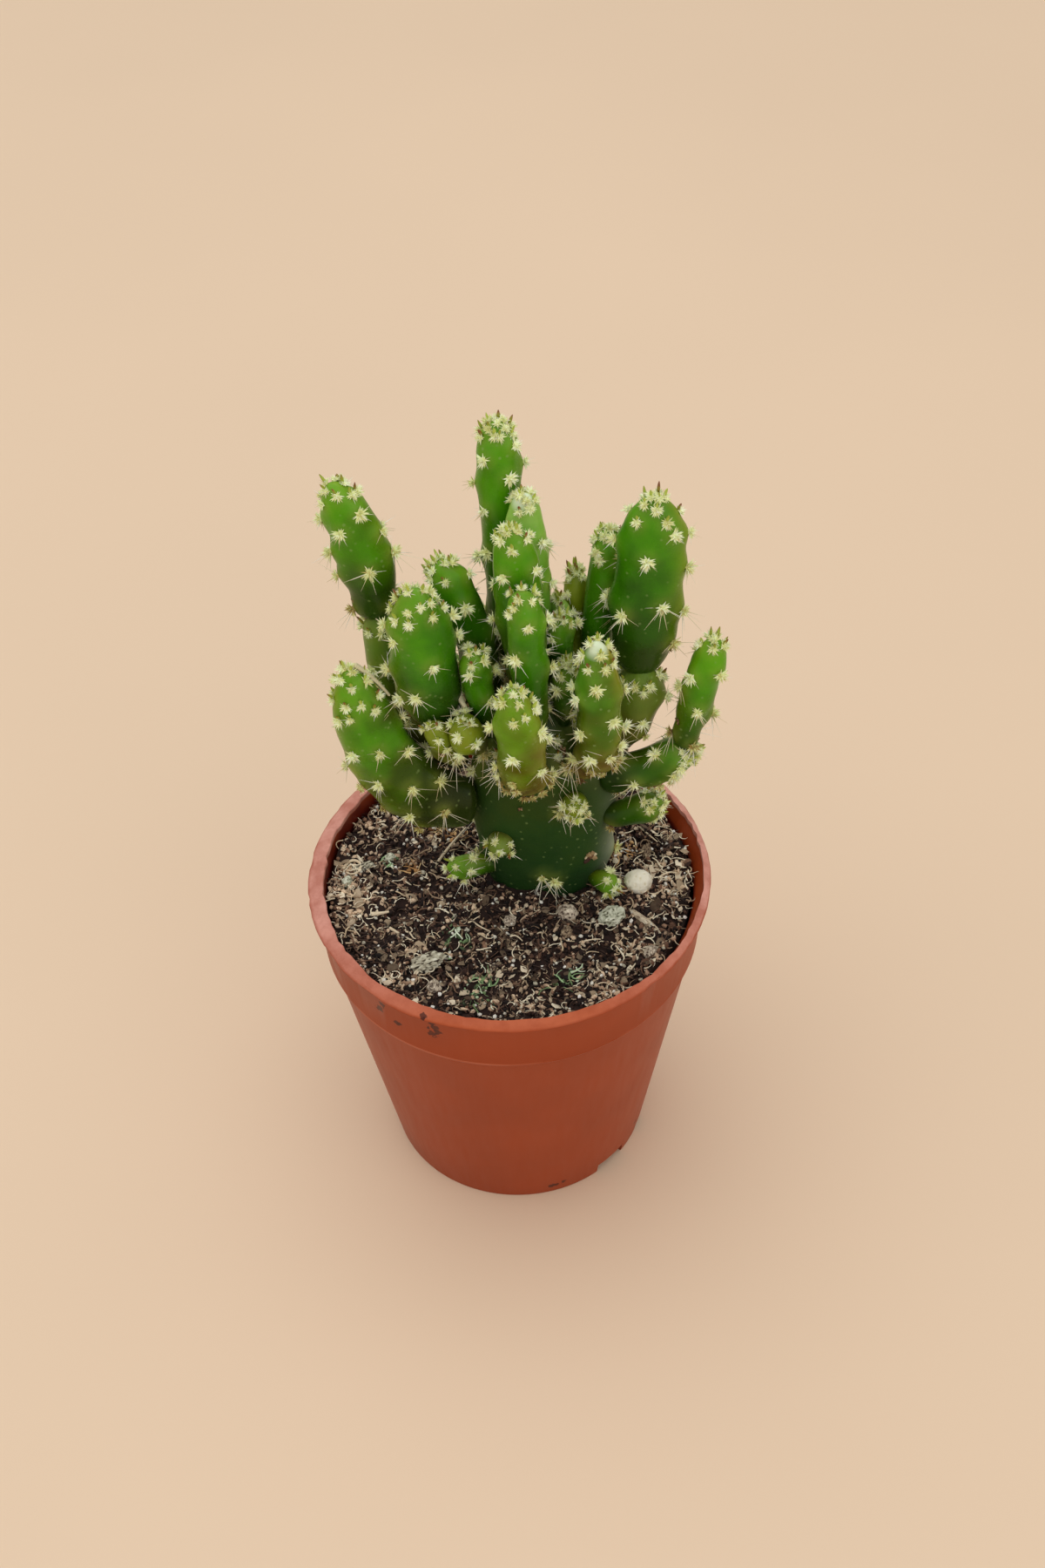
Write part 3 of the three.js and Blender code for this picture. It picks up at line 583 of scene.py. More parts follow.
def pot_material(settings):
    """Moulded polypropylene: an even terracotta red, satin with faint upright draw marks. The lip's top is
    painted lighter in worn patches, orange red at the front and pale pink toward the back as a painted sky
    reflection. A painted highlight runs as a pale line along the collar's foot. Dried splashes of soil darken
    the collar at the front left, and painted shade makes the wall inside a deeper red over the soil."""
    material, tree = new_material("moulded_polypropylene")
    place = add(tree, "TexCoord").outputs["Object"]
    split = add(tree, "SeparateXYZ", links={0: place})
    height = split.outputs["Z"]
    cloud = add(tree, "TexNoise", {"Scale": 1 / (11.1 * MM), "Detail": 4.0}, {"Vector": place})
    red = tuple(settings.colour)
    darker = (*[part * POT_DIM for part in red[:3]], 1.0)
    body = add(tree, "ValToRGB", links={0: cloud}, stops=[(0.3, darker), (0.7, red)])

    # The lip's top is painted lighter than the body, in worn patches
    raised = add(tree, "MapRange", {"From Min": POT_HEIGHT - LIT_LIP_LOW, "From Max": POT_HEIGHT - LIT_LIP_FULL},
                 {"Value": height})
    chalk = add(tree, "TexNoise", {"Scale": 1 / (3.85 * MM), "Detail": 6.0, "Roughness": 0.65},
                {"Vector": place})
    worn = add(tree, "MapRange", {"From Min": 0.35, "From Max": 0.6, "To Min": 0.5}, {"Value": chalk})
    lip = add(tree, "Math", links={0: raised, 1: worn}, operation="MULTIPLY")
    # A painted sky reflection: the lip's top turns from orange red at the front to pale pink toward the back
    weathered = add(tree, "MapRange", {"From Min": SKY_REFLECTION_START, "From Max": SKY_REFLECTION_FULL, "To Min": 0.1},
                    {"Value": split.outputs["Y"]})
    chalky = add(tree, "Mix", {UNDER: linear("#bc5626"), OVER: tuple(settings.lip_colour)},
                 {SHARE: weathered}, data_type="RGBA")
    coloured = add(tree, "Mix", links={SHARE: lip, UNDER: body, OVER: chalky}, data_type="RGBA")

    # A painted highlight: a pale broken line along the collar's foot
    line = add(tree, "Math", {1: COLLAR_FOOT_HEIGHT + COLLAR_HIGHLIGHT_RISE, 2: COLLAR_HIGHLIGHT_HALF}, {0: height},
               operation="COMPARE")
    broken = add(tree, "MapRange", {"From Min": 0.4, "From Max": 0.6, "To Max": 0.35}, {"Value": cloud})
    collar_highlight = add(tree, "Math", links={0: line, 1: broken}, operation="MULTIPLY")
    # Painted shade: the wall inside turns a deeper red over the soil
    flat = add(tree, "CombineXYZ", links={0: split.outputs["X"], 1: split.outputs["Y"]})
    radius = add(tree, "VectorMath", links={0: flat}, operation="LENGTH")
    inside = add(tree, "MapRange", {"From Min": INNER_WALL + INNER_START, "From Max": INNER_WALL + INNER_FULL,
                                    "To Max": 0.85}, {"Value": radius})
    band = add(tree, "Math", {1: POT_HEIGHT - BAND_MIDDLE, 2: BAND_HALF}, {0: height}, operation="COMPARE")
    shaded = add(tree, "Math", links={0: inside, 1: band}, operation="MULTIPLY")
    for share, colour in ((collar_highlight, "#d98a6c"), (shaded, "#5e1812")):
        coloured = add(tree, "Mix", {OVER: linear(colour)}, {SHARE: share, UNDER: coloured},
                       data_type="RGBA")

    specks = add(tree, "TexNoise", {"Scale": 1 / (0.667 * MM), "Detail": 3.0}, {"Vector": place})
    for pixel, size in SPLASHES:
        size *= MM
        away = add(tree, "VectorMath", {1: wall_at(*pixel)}, {0: place}, operation="DISTANCE")
        ragged = add(tree, "Math", {1: size * 2.4, 2: -size * 1.2}, {0: specks}, operation="MULTIPLY_ADD")
        reach = add(tree, "Math", links={0: away, 1: ragged}, operation="ADD")
        stain = add(tree, "MapRange", {"From Min": size * 0.75, "From Max": size, "To Min": 0.85,
                                       "To Max": 0.0}, {"Value": reach})
        coloured = add(tree, "Mix", {OVER: linear("#43160b")}, {SHARE: stain, UNDER: coloured},
                       data_type="RGBA")

    stretch = add(tree, "Mapping", {"Scale": (1 / (1.11 * MM), 1 / (1.11 * MM), 1 / (25 * MM))},
                  {"Vector": place})
    drawn = add(tree, "TexNoise", {"Scale": 1.0, "Detail": 2.0}, {"Vector": stretch})
    rough = add(tree, "MapRange", {"To Min": 0.36, "To Max": 0.5}, {"Value": drawn})
    bump = add(tree, "Bump", {"Strength": 0.12, "Distance": 0.2 * MM}, {"Height": drawn})
    surface(tree, {"IOR": 1.45, "Specular IOR Level": 0.28},
            {"Base Color": coloured, "Roughness": rough, "Normal": bump})
    return material


# Peat crumb by crumb, from nearly black to tan
PEAT = ((0.0, "#140a07"), (0.3, "#43291f"), (0.6, "#947058"), (1.0, "#e8ccac"))
# What small things are made of: the material's name, its colours from dark to bright, its roughness, the
# size of its grain in millimetres and the strength of its relief
TONE_LOOKS = {
    # Milled peat, loose and trodden down: dark, matt and crumbly
    "crumbs": ("crumbled_peat", PEAT, 0.95, 0.556, 0.6),
    "bed": ("pressed_peat", PEAT, 0.95, 0.556, 0.6),
    # Dry sphagnum and root fibres: curled, pale straw to brown, slightly silky
    "fibres": ("dry_root_fibre", ((0.0, "#2c1912"), (0.35, "#7c5b46"), (0.75, "#dcc4a0"), (1.0, "#fff3d6")),
               0.7, 1.111, 0.4),
    # Flat chips of weathered bark and dead leaf: matt, grey brown to pale buff
    "chips": ("shredded_bark", ((0.0, "#4a3828"), (0.5, "#b29c80"), (1.0, "#f6e8cc")), 0.9, 0.909, 0.4),
    # Coconut fibre: springy, orange brown
    "coir": ("coconut_fibre", ((0.0, "#7c522c"), (0.5, "#cc9a5e"), (1.0, "#f4d6a0")), 0.7, 1.111, 0.4),
    # Peat under a film of green algae, grey green to bright green
    "algae": ("algae_grown_peat", ((0.0, "#2c3a26"), (0.45, "#748e5c"), (0.75, "#a4c690"), (1.0, "#effbe0")),
              0.8, 0.833, 0.4),
    # Crushed perlite: chalky white grains with a faint warm or green stain
    "white_grains": ("crushed_perlite", ((0.0, "#b9b29c"), (0.5, "#e6e2d2"), (1.0, "#fffdf4")),
                     0.85, 0.667, 0.4),
    # Corky scab and withered leaf: matt and brittle, red brown to pale straw
    "scab": ("corky_scab", ((0.0, "#43281a"), (0.4, "#7c5a3c"), (0.75, "#b09468"), (1.0, "#e6dab4")),
             0.9, 0.667, 0.6),
    # Tiny fleshy leaves: waxy, yellow green to olive, some dried to red brown
    "leaf": ("waxy_young_leaf", ((0.0, "#84502a"), (0.12, "#94802c"), (0.45, "#9fae34"), (1.0, "#c0d058")),
             0.45, 1.111, 0.4),
    # Areole wool with barbed bristles: felted, cream yellow, tan where it is old
    "wool": ("felted_areole_wool", ((0.0, "#6c4a2a"), (0.3, "#b49c56"), (0.55, "#e0e096"), (0.8, "#f4f9c2"),
                                    (1.0, "#fbffe0")), 0.8, 0.4545, 0.4),
    # Cactus spine: horn-like and glossy, from straw to white
    "spine": ("horny_spine", ((0.0, "#d8c795"), (0.5, "#efe8cc"), (1.0, "#fffdf2")), 0.4, 1.667, 0.0),
    # Quartz pebble worn by water: cream and smooth
    "pebble": ("water_worn_pebble", ((0.0, "#d2c598"), (0.5, "#f6efd6"), (1.0, "#fffcee")), 0.7, 2.0, 0.6),
    # Crushed pumice: grey green and pitted
    "pumice": ("crushed_pumice", ((0.0, "#77765f"), (0.4, "#c4c6ae"), (1.0, "#f0f0dc")), 0.9, 1.111, 0.6),
    # Broken gravel: buff and matt
    "stone": ("broken_gravel", ((0.0, "#5a4a3e"), (0.4, "#b0a08c"), (1.0, "#ecdfc8")), 0.85, 1.111, 0.6),
    # Weathered bark: grey brown and fibrous
    "bark": ("weathered_bark", ((0.0, "#3f2d22"), (0.5, "#8a745c"), (1.0, "#bfab8c")), 0.9, 1.4286, 0.6),
    # Bark under pale lichen: a flake from grey brown to nearly white
    "flake": ("lichened_bark", ((0.0, "#4a3e32"), (0.35, "#a29a84"), (0.7, "#d2cdb6"), (1.0, "#f2efde")),
              0.9, 1.4286, 0.6),
    # Splintered wood bleached by the sun: pale and dry
    "twig": ("bleached_splinter", ((0.0, "#84705c"), (0.5, "#cbb89a"), (1.0, "#efe4cc")), 0.8, 1.4286, 0.6),
}
GRAIN_TONES = 0.12


def tone_material(kind):
    """A material whose colour follows each small piece's own tone, broken up by a fine grain."""
    name, stops, roughness, grain_size, relief = TONE_LOOKS[kind]
    material, tree = new_material(name)
    place = add(tree, "TexCoord").outputs["Object"]
    tone = add(tree, "Attribute", attribute_name="tone").outputs["Fac"]
    grain = add(tree, "TexNoise", {"Scale": 1 / (grain_size * MM), "Detail": 4.0}, {"Vector": place})
    spread = add(tree, "MapRange", {"To Min": -GRAIN_TONES, "To Max": GRAIN_TONES}, {"Value": grain})
    mixed = add(tree, "Math", links={0: tone, 1: spread}, operation="ADD")
    colour = add(tree, "ValToRGB", links={0: mixed}, stops=stops)
    bump = add(tree, "Bump", {"Strength": relief, "Distance": 0.2 * MM}, {"Height": grain})
    surface(tree, {"Roughness": roughness}, {"Base Color": colour, "Normal": bump})
    return material


def flesh_material(name, highlight_place, foot, middle, shoulder, tip, edge, gloss):
    """Waxy cactus skin over watery flesh: a soft gloss, colour that deepens toward the foot and darkens with
    painted shade on undersides and on one inner side, turns olive to brown along the edges, where old skin
    has a pale painted sheen instead, and pales round each areole, with pale dots of stomata, faint mottling
    and one pale spot of painted highlight. The stomata are drawn coarser than real ones, which are too fine
    to show."""
    material, tree = new_material(name)
    place = add(tree, "TexCoord").outputs["Object"]
    rise, halo, flank = (add(tree, "Attribute", attribute_name=part).outputs["Fac"]
                         for part in ("rise", "halo", "flank"))
    noises = {}
    for part, size, detail, roughness in (("cloud", 5.26, 3.0, 0.5), ("patches", 9.1, 2.0, 0.5),
                                          ("dots", 0.385, 2.0, 0.5), ("wrinkles", 1.613, 5.0, 0.6),
                                          ("wax", 2.0, 3.0, 0.5)):
        noises[part] = add(tree, "TexNoise", {"Scale": 1 / (size * MM), "Detail": detail,
                                              "Roughness": roughness}, {"Vector": place})

    sway = add(tree, "MapRange", {"From Min": 0.3, "From Max": 0.7, "To Min": -0.17, "To Max": 0.17},
               {"Value": noises["cloud"]})
    # The rise attribute is lowered by painted shade on undersides and on one inner side
    level = add(tree, "Math", links={0: rise, 1: sway}, operation="ADD")
    coloured = add(tree, "ValToRGB", links={0: level},
                   stops=[(0.18, foot), (0.46, middle), (0.74, shoulder), (0.98, tip)])
    spread = add(tree, "MapRange", {"From Min": 0.35, "From Max": 0.65, "To Min": 0.25},
                 {"Value": noises["patches"]})
    brown = add(tree, "Math", links={0: flank, 1: spread}, operation="MULTIPLY")
    ring = add(tree, "MapRange", {"To Max": 0.4}, {"Value": halo})
    pores = add(tree, "TexVoronoi", {"Scale": 1 / (1.25 * MM)}, {"Vector": place})
    dotted = add(tree, "MapRange", {"From Min": 0.1, "From Max": 0.2, "To Min": 0.3, "To Max": 0.0},
                 {"Value": pores})
    layers = [(brown, edge), (ring, "#a3b04c"), (dotted, "#9db56e")]
    # A painted highlight: one pale spot on the skin, full near its place and gone farther off
    if highlight_place:
        highlight_gap = add(tree, "VectorMath", {1: highlight_place}, {0: place}, operation="DISTANCE")
        painted_highlight = add(tree, "MapRange", {"From Min": SPOT_HIGHLIGHT_FULL, "From Max": SPOT_HIGHLIGHT_END, "To Min": 0.9,
                                       "To Max": 0.0}, {"Value": highlight_gap})
        layers.append((painted_highlight, "#eefadc"))
    for share, colour in layers:
        coloured = add(tree, "Mix", {OVER: linear(colour)}, {SHARE: share, UNDER: coloured},
                       data_type="RGBA")

    rough = add(tree, "MapRange", {"To Min": gloss - 0.08, "To Max": gloss + 0.1}, {"Value": noises["wax"]})
    puckered = add(tree, "Bump", {"Strength": 0.22, "Distance": 0.3 * MM}, {"Height": noises["wrinkles"]})
    bump = add(tree, "Bump", {"Strength": 0.2, "Distance": 0.1 * MM},
               {"Height": noises["dots"], "Normal": puckered})
    surface(tree, {"IOR": 1.45, "Specular IOR Level": 0.2, "Subsurface Weight": 0.03,
                   "Subsurface Radius": (0.8 * MM, 1.2 * MM, 0.3 * MM), "Subsurface Scale": 1.0,
                   "Sheen Weight": 0.03, "Sheen Roughness": 0.3, "Sheen Tint": linear("#cfe08a")},
            {"Base Color": coloured, "Roughness": rough, "Normal": bump})
    return material


def pot_profile():
    """Points of the pot's section, from the middle of its foot round the outside and back inside."""
    floor_top = CHANNEL_HEIGHT + WALL
    disc = FOOT_DISC_RADIUS
    ring = BASE_RADIUS - FOOT_RING_WIDTH
    edge = 0.35 * MM
    foot = [(0, 0), (disc - edge, 0), (disc + edge / 3, edge / 2), (disc + 0.8 * MM, CHANNEL_HEIGHT),
            (ring, CHANNEL_HEIGHT), (ring + edge, edge / 3), (ring + 0.6 * MM, 0),
            (BASE_RADIUS - edge / 2, 0), (BASE_RADIUS, edge / 2)]
    collar = [(COLLAR_FOOT_RADIUS - STEP_DEPTH, COLLAR_FOOT_HEIGHT - STEP_HEIGHT),
              (COLLAR_FOOT_RADIUS - 0.05 * MM, COLLAR_FOOT_HEIGHT - STEP_HEIGHT * 0.3),
              (COLLAR_FOOT_RADIUS + 0.06 * MM, COLLAR_FOOT_HEIGHT),
              (COLLAR_FOOT_RADIUS, COLLAR_FOOT_HEIGHT + 0.3 * MM)]
    # The lip by how far a point lies in from the rim and below the top
    lip = [(LIP_DROP, LIP_DROP * 2), (0.12 * MM, LIP_DROP * 1.45), (0, LIP_DROP * 1.3), (0, LIP_DROP * 1.08),
           (0.1 * MM, LIP_DROP * 0.95), (LIP_WIDTH * 0.3, LIP_DROP * 0.66),
           (LIP_WIDTH * 0.65, LIP_DROP * 0.3), (LIP_WIDTH - 0.1 * MM, 0), (LIP_WIDTH, 0.1 * MM),
           (LIP_WIDTH, 0.9 * MM)]
    inside = [(INNER_WALL + 0.1 * MM, POT_HEIGHT - 3 * MM), (INNER_WALL, COLLAR_FOOT_HEIGHT),
              (BASE_RADIUS - WALL + 0.5 * MM, floor_top), (disc - 0.1 * MM, floor_top), (disc - WALL, WALL),
              (0, WALL)]
    return foot + collar + [(RIM_RADIUS - inward, POT_HEIGHT - drop) for inward, drop in lip] + inside


def spun(points, steps):
    """A closed solid of revolution from (radius, height) points that start and end on the axis."""
    bm = bmesh.new()
    verts = [bm.verts.new((radius, 0, height)) for radius, height in points]
    edges = [bm.edges.new(pair) for pair in zip(verts, verts[1:])]
    bmesh.ops.spin(bm, geom=verts + edges, cent=(0, 0, 0), axis=(0, 0, 1), angle=TURN, steps=steps,
                   use_merge=True, use_duplicate=False)
    bmesh.ops.remove_doubles(bm, verts=bm.verts, dist=1e-6)
    in_order(bm)
    bm.normal_update()
    bmesh.ops.recalc_face_normals(bm, faces=bm.faces)
    return bm


def cut(piece, cutter):
    """Takes a bmesh of cutting blocks out of a piece, and keeps the result as its mesh."""
    in_order(cutter)
    mesh, _ = to_template(cutter, "cutter")
    tool = bpy.data.objects.new("cutter", mesh)
    bpy.context.scene.collection.objects.link(tool)
    modifier = piece.modifiers.new("cut", "BOOLEAN")
    modifier.object = tool
    modifier.operation = "DIFFERENCE"
    modifier.solver = "EXACT"
    graph = bpy.context.evaluated_depsgraph_get()
    result = bpy.data.meshes.new_from_object(piece.evaluated_get(graph))
    piece.modifiers.clear()
    piece.data = result
    bpy.data.objects.remove(tool)


class CACTUS_OT_pot(bpy.types.Operator):
    """Thin moulded pot with a collar, a ragged lip, a notched foot ring and drain holes"""
    bl_idname = "cactus.pot"
    bl_label = "Pot"

    def execute(self, context):
        bm = spun(pot_profile(), POT_STEPS)
        self.wear_lip(bm)
        material = pot_material(context.scene.cactus_pot)
        piece = finish_mesh("pot_shell", bm, [material], "pot_plastic", ["pot"])
        cutter = bmesh.new()
        for angle, width, height in FOOT_NOTCHES:
            block = (Matrix.Rotation(math.radians(angle), 4, "Z") @ Matrix.Translation((BASE_RADIUS, 0, 0))
                     @ Matrix.Diagonal((NOTCH_DEPTH, width * MM, height * 2 * MM, 1)))
            bmesh.ops.create_cube(cutter, size=1, matrix=block)
        for angle in DRAIN_ANGLES:
            place = (Matrix.Rotation(math.radians(angle), 4, "Z")
                     @ Matrix.Translation((DRAIN_CIRCLE, 0, CHANNEL_HEIGHT)))
            bmesh.ops.create_cone(cutter, cap_ends=True, segments=32, radius1=DRAIN_RADIUS,
                                  radius2=DRAIN_RADIUS, depth=DRAIN_DEPTH, matrix=place)
        cut(piece, cutter)
        piece.data.set_sharp_from_angle(angle=SHARP_ANGLE)
        return {"FINISHED"}

    def wear_lip(self, bm):
        """Makes the lip ragged and wavy, and trims its inner edge more on one side."""
        for vert in bm.verts:
            radius = math.hypot(vert.co.x, vert.co.y)
            if vert.co.z < POT_HEIGHT - LIP_DROP * 1.6 or radius < RIM_RADIUS - LIP_WIDTH - 0.5 * MM:
                continue
            angle = math.atan2(vert.co.y, vert.co.x)
            spot = Vector((math.cos(angle), math.sin(angle), 0))
            ragged = sum(noise.noise(spot * rate) * share for rate, share in RAGGED_WAVES)
            swing = noise.noise(spot * SWING_RATE + Vector((0, 0, 3)))
            inward = (RIM_RADIUS - radius) / LIP_WIDTH
            trim = LIP_TRIM * (1 + math.cos(angle - LIP_TRIM_SIDE))
            if inward < LIP_EDGE:
                even, rag, bend = EDGE_WEAR
                shrink = (even + rag * abs(ragged) + bend * max(0, swing)) * MM
            else:
                rag, bend = INNER_WEAR
                shrink = -trim * min(1.0, inward) - inward * (rag * ragged + bend * swing) * MM
            vert.co.x -= spot.x * shrink
            vert.co.y -= spot.y * shrink
            vert.co.z += (LIP_RISE[0] * ragged + LIP_RISE[1] * swing) * MM


# Tones of small things on the soil, as a base, a spread and a power that makes bright ones rare: on straw
# patches, elsewhere, and for fibres of coir or algae
CRUMB_TONES = {"straw": (0.12, 1.2, 1), "other": (0.0, 1.1, 2.4)}
FIBRE_TONES = {"straw": (0.35, 1.1, 1), "other": (0.0, 1.15, 3.0), "patch": (0.25, 0.9, 1)}
CHIP_TONES = {"straw": (0.4, 1.0, 1.9), "other": (0.0, 1.0, 1.9)}
ROOT_TONE = 0.85
BED_TONE = 0.1
# How often a crumb on a patch of coir or algae is of it, and a fibre isn't
PATCH_CRUMBS = 0.5
PLAIN_FIBRES = 0.3
# The bed of soil: rings and steps of its top, and its fine relief by the width and height of its lumps
BED_RINGS = 70
BED_STEPS = 200
BED_LUMPS = ((0.7 * MM, 0.3 * MM, 0.0), (1.9 * MM, 0.35 * MM, 5 * MM))
BED_SINK = 0.15 * MM
# Sizes of small things on the soil as shares of a crumb's usual radius, or for fibres of their own length,
# and the length and height of one as shares of its width
CRUMB_SIZES = (0.5, 1.0)
LARGEST_CRUMB = 1.6
CRUMB_LENGTHS = (0.8, 1.8)
CRUMB_HEIGHTS = (0.5, 0.9)
FIBRE_SIZES = (0.55, 1.2)
FIBRE_TILTS = (-0.3, 0.3)
CHIP_SIZES = (0.9, 2.2)
STRAW_CHIP = 1.35
CHIP_LENGTHS = (1.0, 1.9)
CHIP_HEIGHT = 0.22
CHIP_TILTS = (-0.6, 0.6)
SPECK_SIZES = (0.4, 1.2)


def drawn_tone(chance, tones):
    """A tone by one draw, from a base, a spread and a power."""
    base, spread, power = tones
    return base + chance.random() ** power * spread


class CACTUS_OT_soil(bpy.types.Operator):
    """Bed of peat with crumbs, chips, curled fibres, roots and white grains on it"""
    bl_idname = "cactus.soil"
    bl_label = "Soil"

    def execute(self, context):
        settings = context.scene.cactus_soil
        chance = random.Random(SEED)
        self.bed()
        crumbs = [crumb_template(chance, rough=0.45) for _ in range(10)]
        fibres = [fibre_template(chance) for _ in range(14)]
        wanted = settings.grains + settings.fibres + settings.specks + settings.chips
        free = soil_spots(chance, wanted)
        copies = {"crumbs": [], "fibres": [], "white_grains": [], "chips": [], "coir": [], "algae": []}
        for _ in range(settings.grains):
            spot = next(free)
            size = settings.grain_size * chance.uniform(*CRUMB_SIZES) ** 1.5 * LARGEST_CRUMB
            shape = Matrix.Diagonal((size * chance.uniform(*CRUMB_LENGTHS), size,
                                     size * chance.uniform(*CRUMB_HEIGHTS), 1))
            matrix = Matrix.Translation(spot) @ random_turn(chance) @ shape
            patch = patch_at(spot, chance)
            kind = patch if patch in ("algae", "coir") and chance.random() < PATCH_CRUMBS else "crumbs"
            tone = drawn_tone(chance, CRUMB_TONES["straw" if patch == "straw" else "other"])
            copies[kind].append((chance.choice(crumbs), matrix, tone))
        for _ in range(settings.fibres):
            spot = next(free) + Vector((0, 0, 0.25 * MM))
            tilt = Matrix.Rotation(chance.uniform(*FIBRE_TILTS), 4, "X")
            matrix = (Matrix.Translation(spot) @ Matrix.Rotation(chance.uniform(0, TURN), 4, "Z") @ tilt
                      @ Matrix.Scale(chance.uniform(*FIBRE_SIZES), 4))
            patch = patch_at(spot, chance)
            kind = "fibres" if patch in ("plain", "straw") or chance.random() < PLAIN_FIBRES else patch
            tone = drawn_tone(chance, FIBRE_TONES["straw" if patch == "straw" else "other"])
            if kind != "fibres":
                tone = drawn_tone(chance, FIBRE_TONES["patch"])
            copies[kind].append((chance.choice(fibres), matrix, tone))
        for _ in range(settings.chips):
            spot = next(free) + Vector((0, 0, 0.2 * MM))
            size = settings.grain_size * chance.uniform(*CHIP_SIZES)
            if patch_at(spot, chance) == "straw":
                size *= STRAW_CHIP
            tilt = (Matrix.Rotation(chance.uniform(*CHIP_TILTS), 4, "X")
                    @ Matrix.Rotation(chance.uniform(*CHIP_TILTS), 4, "Y"))
            shape = Matrix.Diagonal((size * chance.uniform(*CHIP_LENGTHS), size, size * CHIP_HEIGHT, 1))
            turn = Matrix.Rotation(chance.uniform(0, TURN), 4, "Z")
            matrix = Matrix.Translation(spot) @ tilt @ turn @ shape
            tones = CHIP_TONES["straw" if patch_at(spot, chance) == "straw" else "other"]
            copies["chips"].append((chance.choice(crumbs), matrix, drawn_tone(chance, tones)))
        for _ in range(settings.specks):
            spot = next(free) + Vector((0, 0, 0.25 * MM))
            size = settings.grain_size * chance.uniform(*SPECK_SIZES)
            matrix = Matrix.Translation(spot) @ random_turn(chance) @ Matrix.Scale(size, 4)
            copies["white_grains"].append((chance.choice(crumbs), matrix, chance.random()))
        materials = {kind: tone_material(kind) for kind in copies}
        for kind, material in materials.items():
            slot = "grit" if kind == "white_grains" else "potting_soil"
            gather(f"soil_{kind}", copies[kind], material, slot, smooth=kind in ("fibres", "coir"))
        self.roots(materials["fibres"])
        return {"FINISHED"}

    def roots(self, material):
        copies = []
        for width, lift, pixels in ROOTS:
            places = [ground_at(*pixel) for pixel in pixels]
            places = [place + Vector((0, 0, 0.5 * MM + lift * MM * i / len(places)))
                      for i, place in enumerate(places)]
            copies.append((strand(places, width * MM), Matrix.Identity(4), ROOT_TONE))
        gather("soil_roots", copies, material, "potting_soil", smooth=True)

    def bed(self):
        floor_top = SOIL_LOW.z
        points = [(0, floor_top), (BASE_RADIUS - WALL, floor_top),
                  (INNER_WALL - 0.4 * MM, COLLAR_FOOT_HEIGHT), (SOIL_EDGE, SOIL_LEVEL - 1 * MM)]
        points += [(SOIL_EDGE * (1 - i / BED_RINGS), SOIL_LEVEL) for i in range(BED_RINGS + 1)]
        bm = spun(points, BED_STEPS)
        for vert in bm.verts:
            if vert.co.z < SOIL_LEVEL - 0.5 * MM:
                continue
            x, y = vert.co.x, vert.co.y
            lumps = sum(noise.noise(Vector((x, y, layer)) / width) * rise for width, rise, layer in BED_LUMPS)
            vert.co.z = soil_top(x, y) + lumps - BED_SINK
        finish_mesh("soil_bed", bm, [tone_material("bed")], "potting_soil", ["soil"],
                    attributes={"tone": [BED_TONE] * len(bm.verts)})


# Patches of the soil: the kind, the pixel of the photograph and the radius in millimetres
SOIL_PATCHES = (
    ("coir", (510, 955), 2.8), ("coir", (713, 975), 2.6), ("coir", (475, 1000), 1.4),
    ("algae", (549, 1139), 2.8), ("algae", (525, 1082), 2.2), ("algae", (450, 990), 1.2),
    ("algae", (650, 1125), 2.0), ("straw", (405, 1045), 5.0), ("straw", (395, 1000), 4.2),
    ("straw", (755, 1010), 5.6), ("straw", (740, 1095), 2.8), ("straw", (480, 1100), 2.2),
    ("straw", (770, 950), 3.0), ("straw", (430, 950), 3.0), ("straw", (605, 1152), 2.2),
    ("straw", (455, 1130), 2.0), ("straw", (700, 1140), 2.2),
)
# Long roots on the soil: thickness and rise in millimetres, and the pixels that they pass
ROOTS = (
    (0.5, 2.2, ((498, 999), (510, 985), (523, 973), (536, 962))),
    (0.3, 0.0, ((541, 1058), (548, 1066), (557, 1069), (563, 1072))),
    (0.75, 0.2, ((427, 1052), (437, 1052), (447, 1050))),
    (0.3, 0.2, ((466, 1072), (474, 1073), (473, 1082), (478, 1081))),
    (0.45, 0.0, ((448, 1068), (458, 1074), (468, 1080), (475, 1083))),
    (0.3, 0.3, ((586, 1078), (592, 1074), (600, 1084))),
    (0.35, 0.2, ((735, 952), (745, 962), (755, 970))),
    (0.4, 0.3, ((752, 945), (765, 950), (772, 960), (780, 962))),
    (0.35, 0.2, ((757, 1010), (765, 1003), (775, 1002), (784, 1010))),
    (0.3, 0.0, ((662, 1085), (672, 1083), (682, 1080), (690, 1081))),
    (0.3, 0.0, ((720, 1120), (728, 1112), (733, 1104))),
    (0.55, 0.1, ((394, 1001), (399, 991), (410, 989), (417, 997), (412, 1006), (401, 1008), (395, 1003))),
    (0.5, 0.1, ((744, 1098), (748, 1087), (757, 1086), (762, 1094), (756, 1101), (747, 1102))),
    (0.3, 0.2, ((556, 1140), (566, 1132), (577, 1138), (586, 1130))),
    (0.3, 0.2, ((690, 1020), (700, 1026), (712, 1022), (720, 1030))),
)


def ground_at(x, y):
    """The place on the soil's mean level at a pixel of the photograph."""
    ray = pixel_ray(x, y)
    return CAMERA_PLACE + ray * ((SOIL_LEVEL - CAMERA_PLACE.z) / ray.z)


def patch_at(spot, chance):
    """The kind of patch that a place on the soil belongs to, with a loose border."""
    for kind, pixel, radius in SOIL_PATCHES:
        if (ground_at(*pixel) - spot).xy.length < radius * MM * chance.uniform(0.4, 1.2):
            return kind
    return "plain"


def random_turn(chance):
    """A rotation by three draws."""
    first, second, third = (Matrix.Rotation(chance.uniform(0, TURN), 4, axis) for axis in "ZXY")
    return first @ second @ third


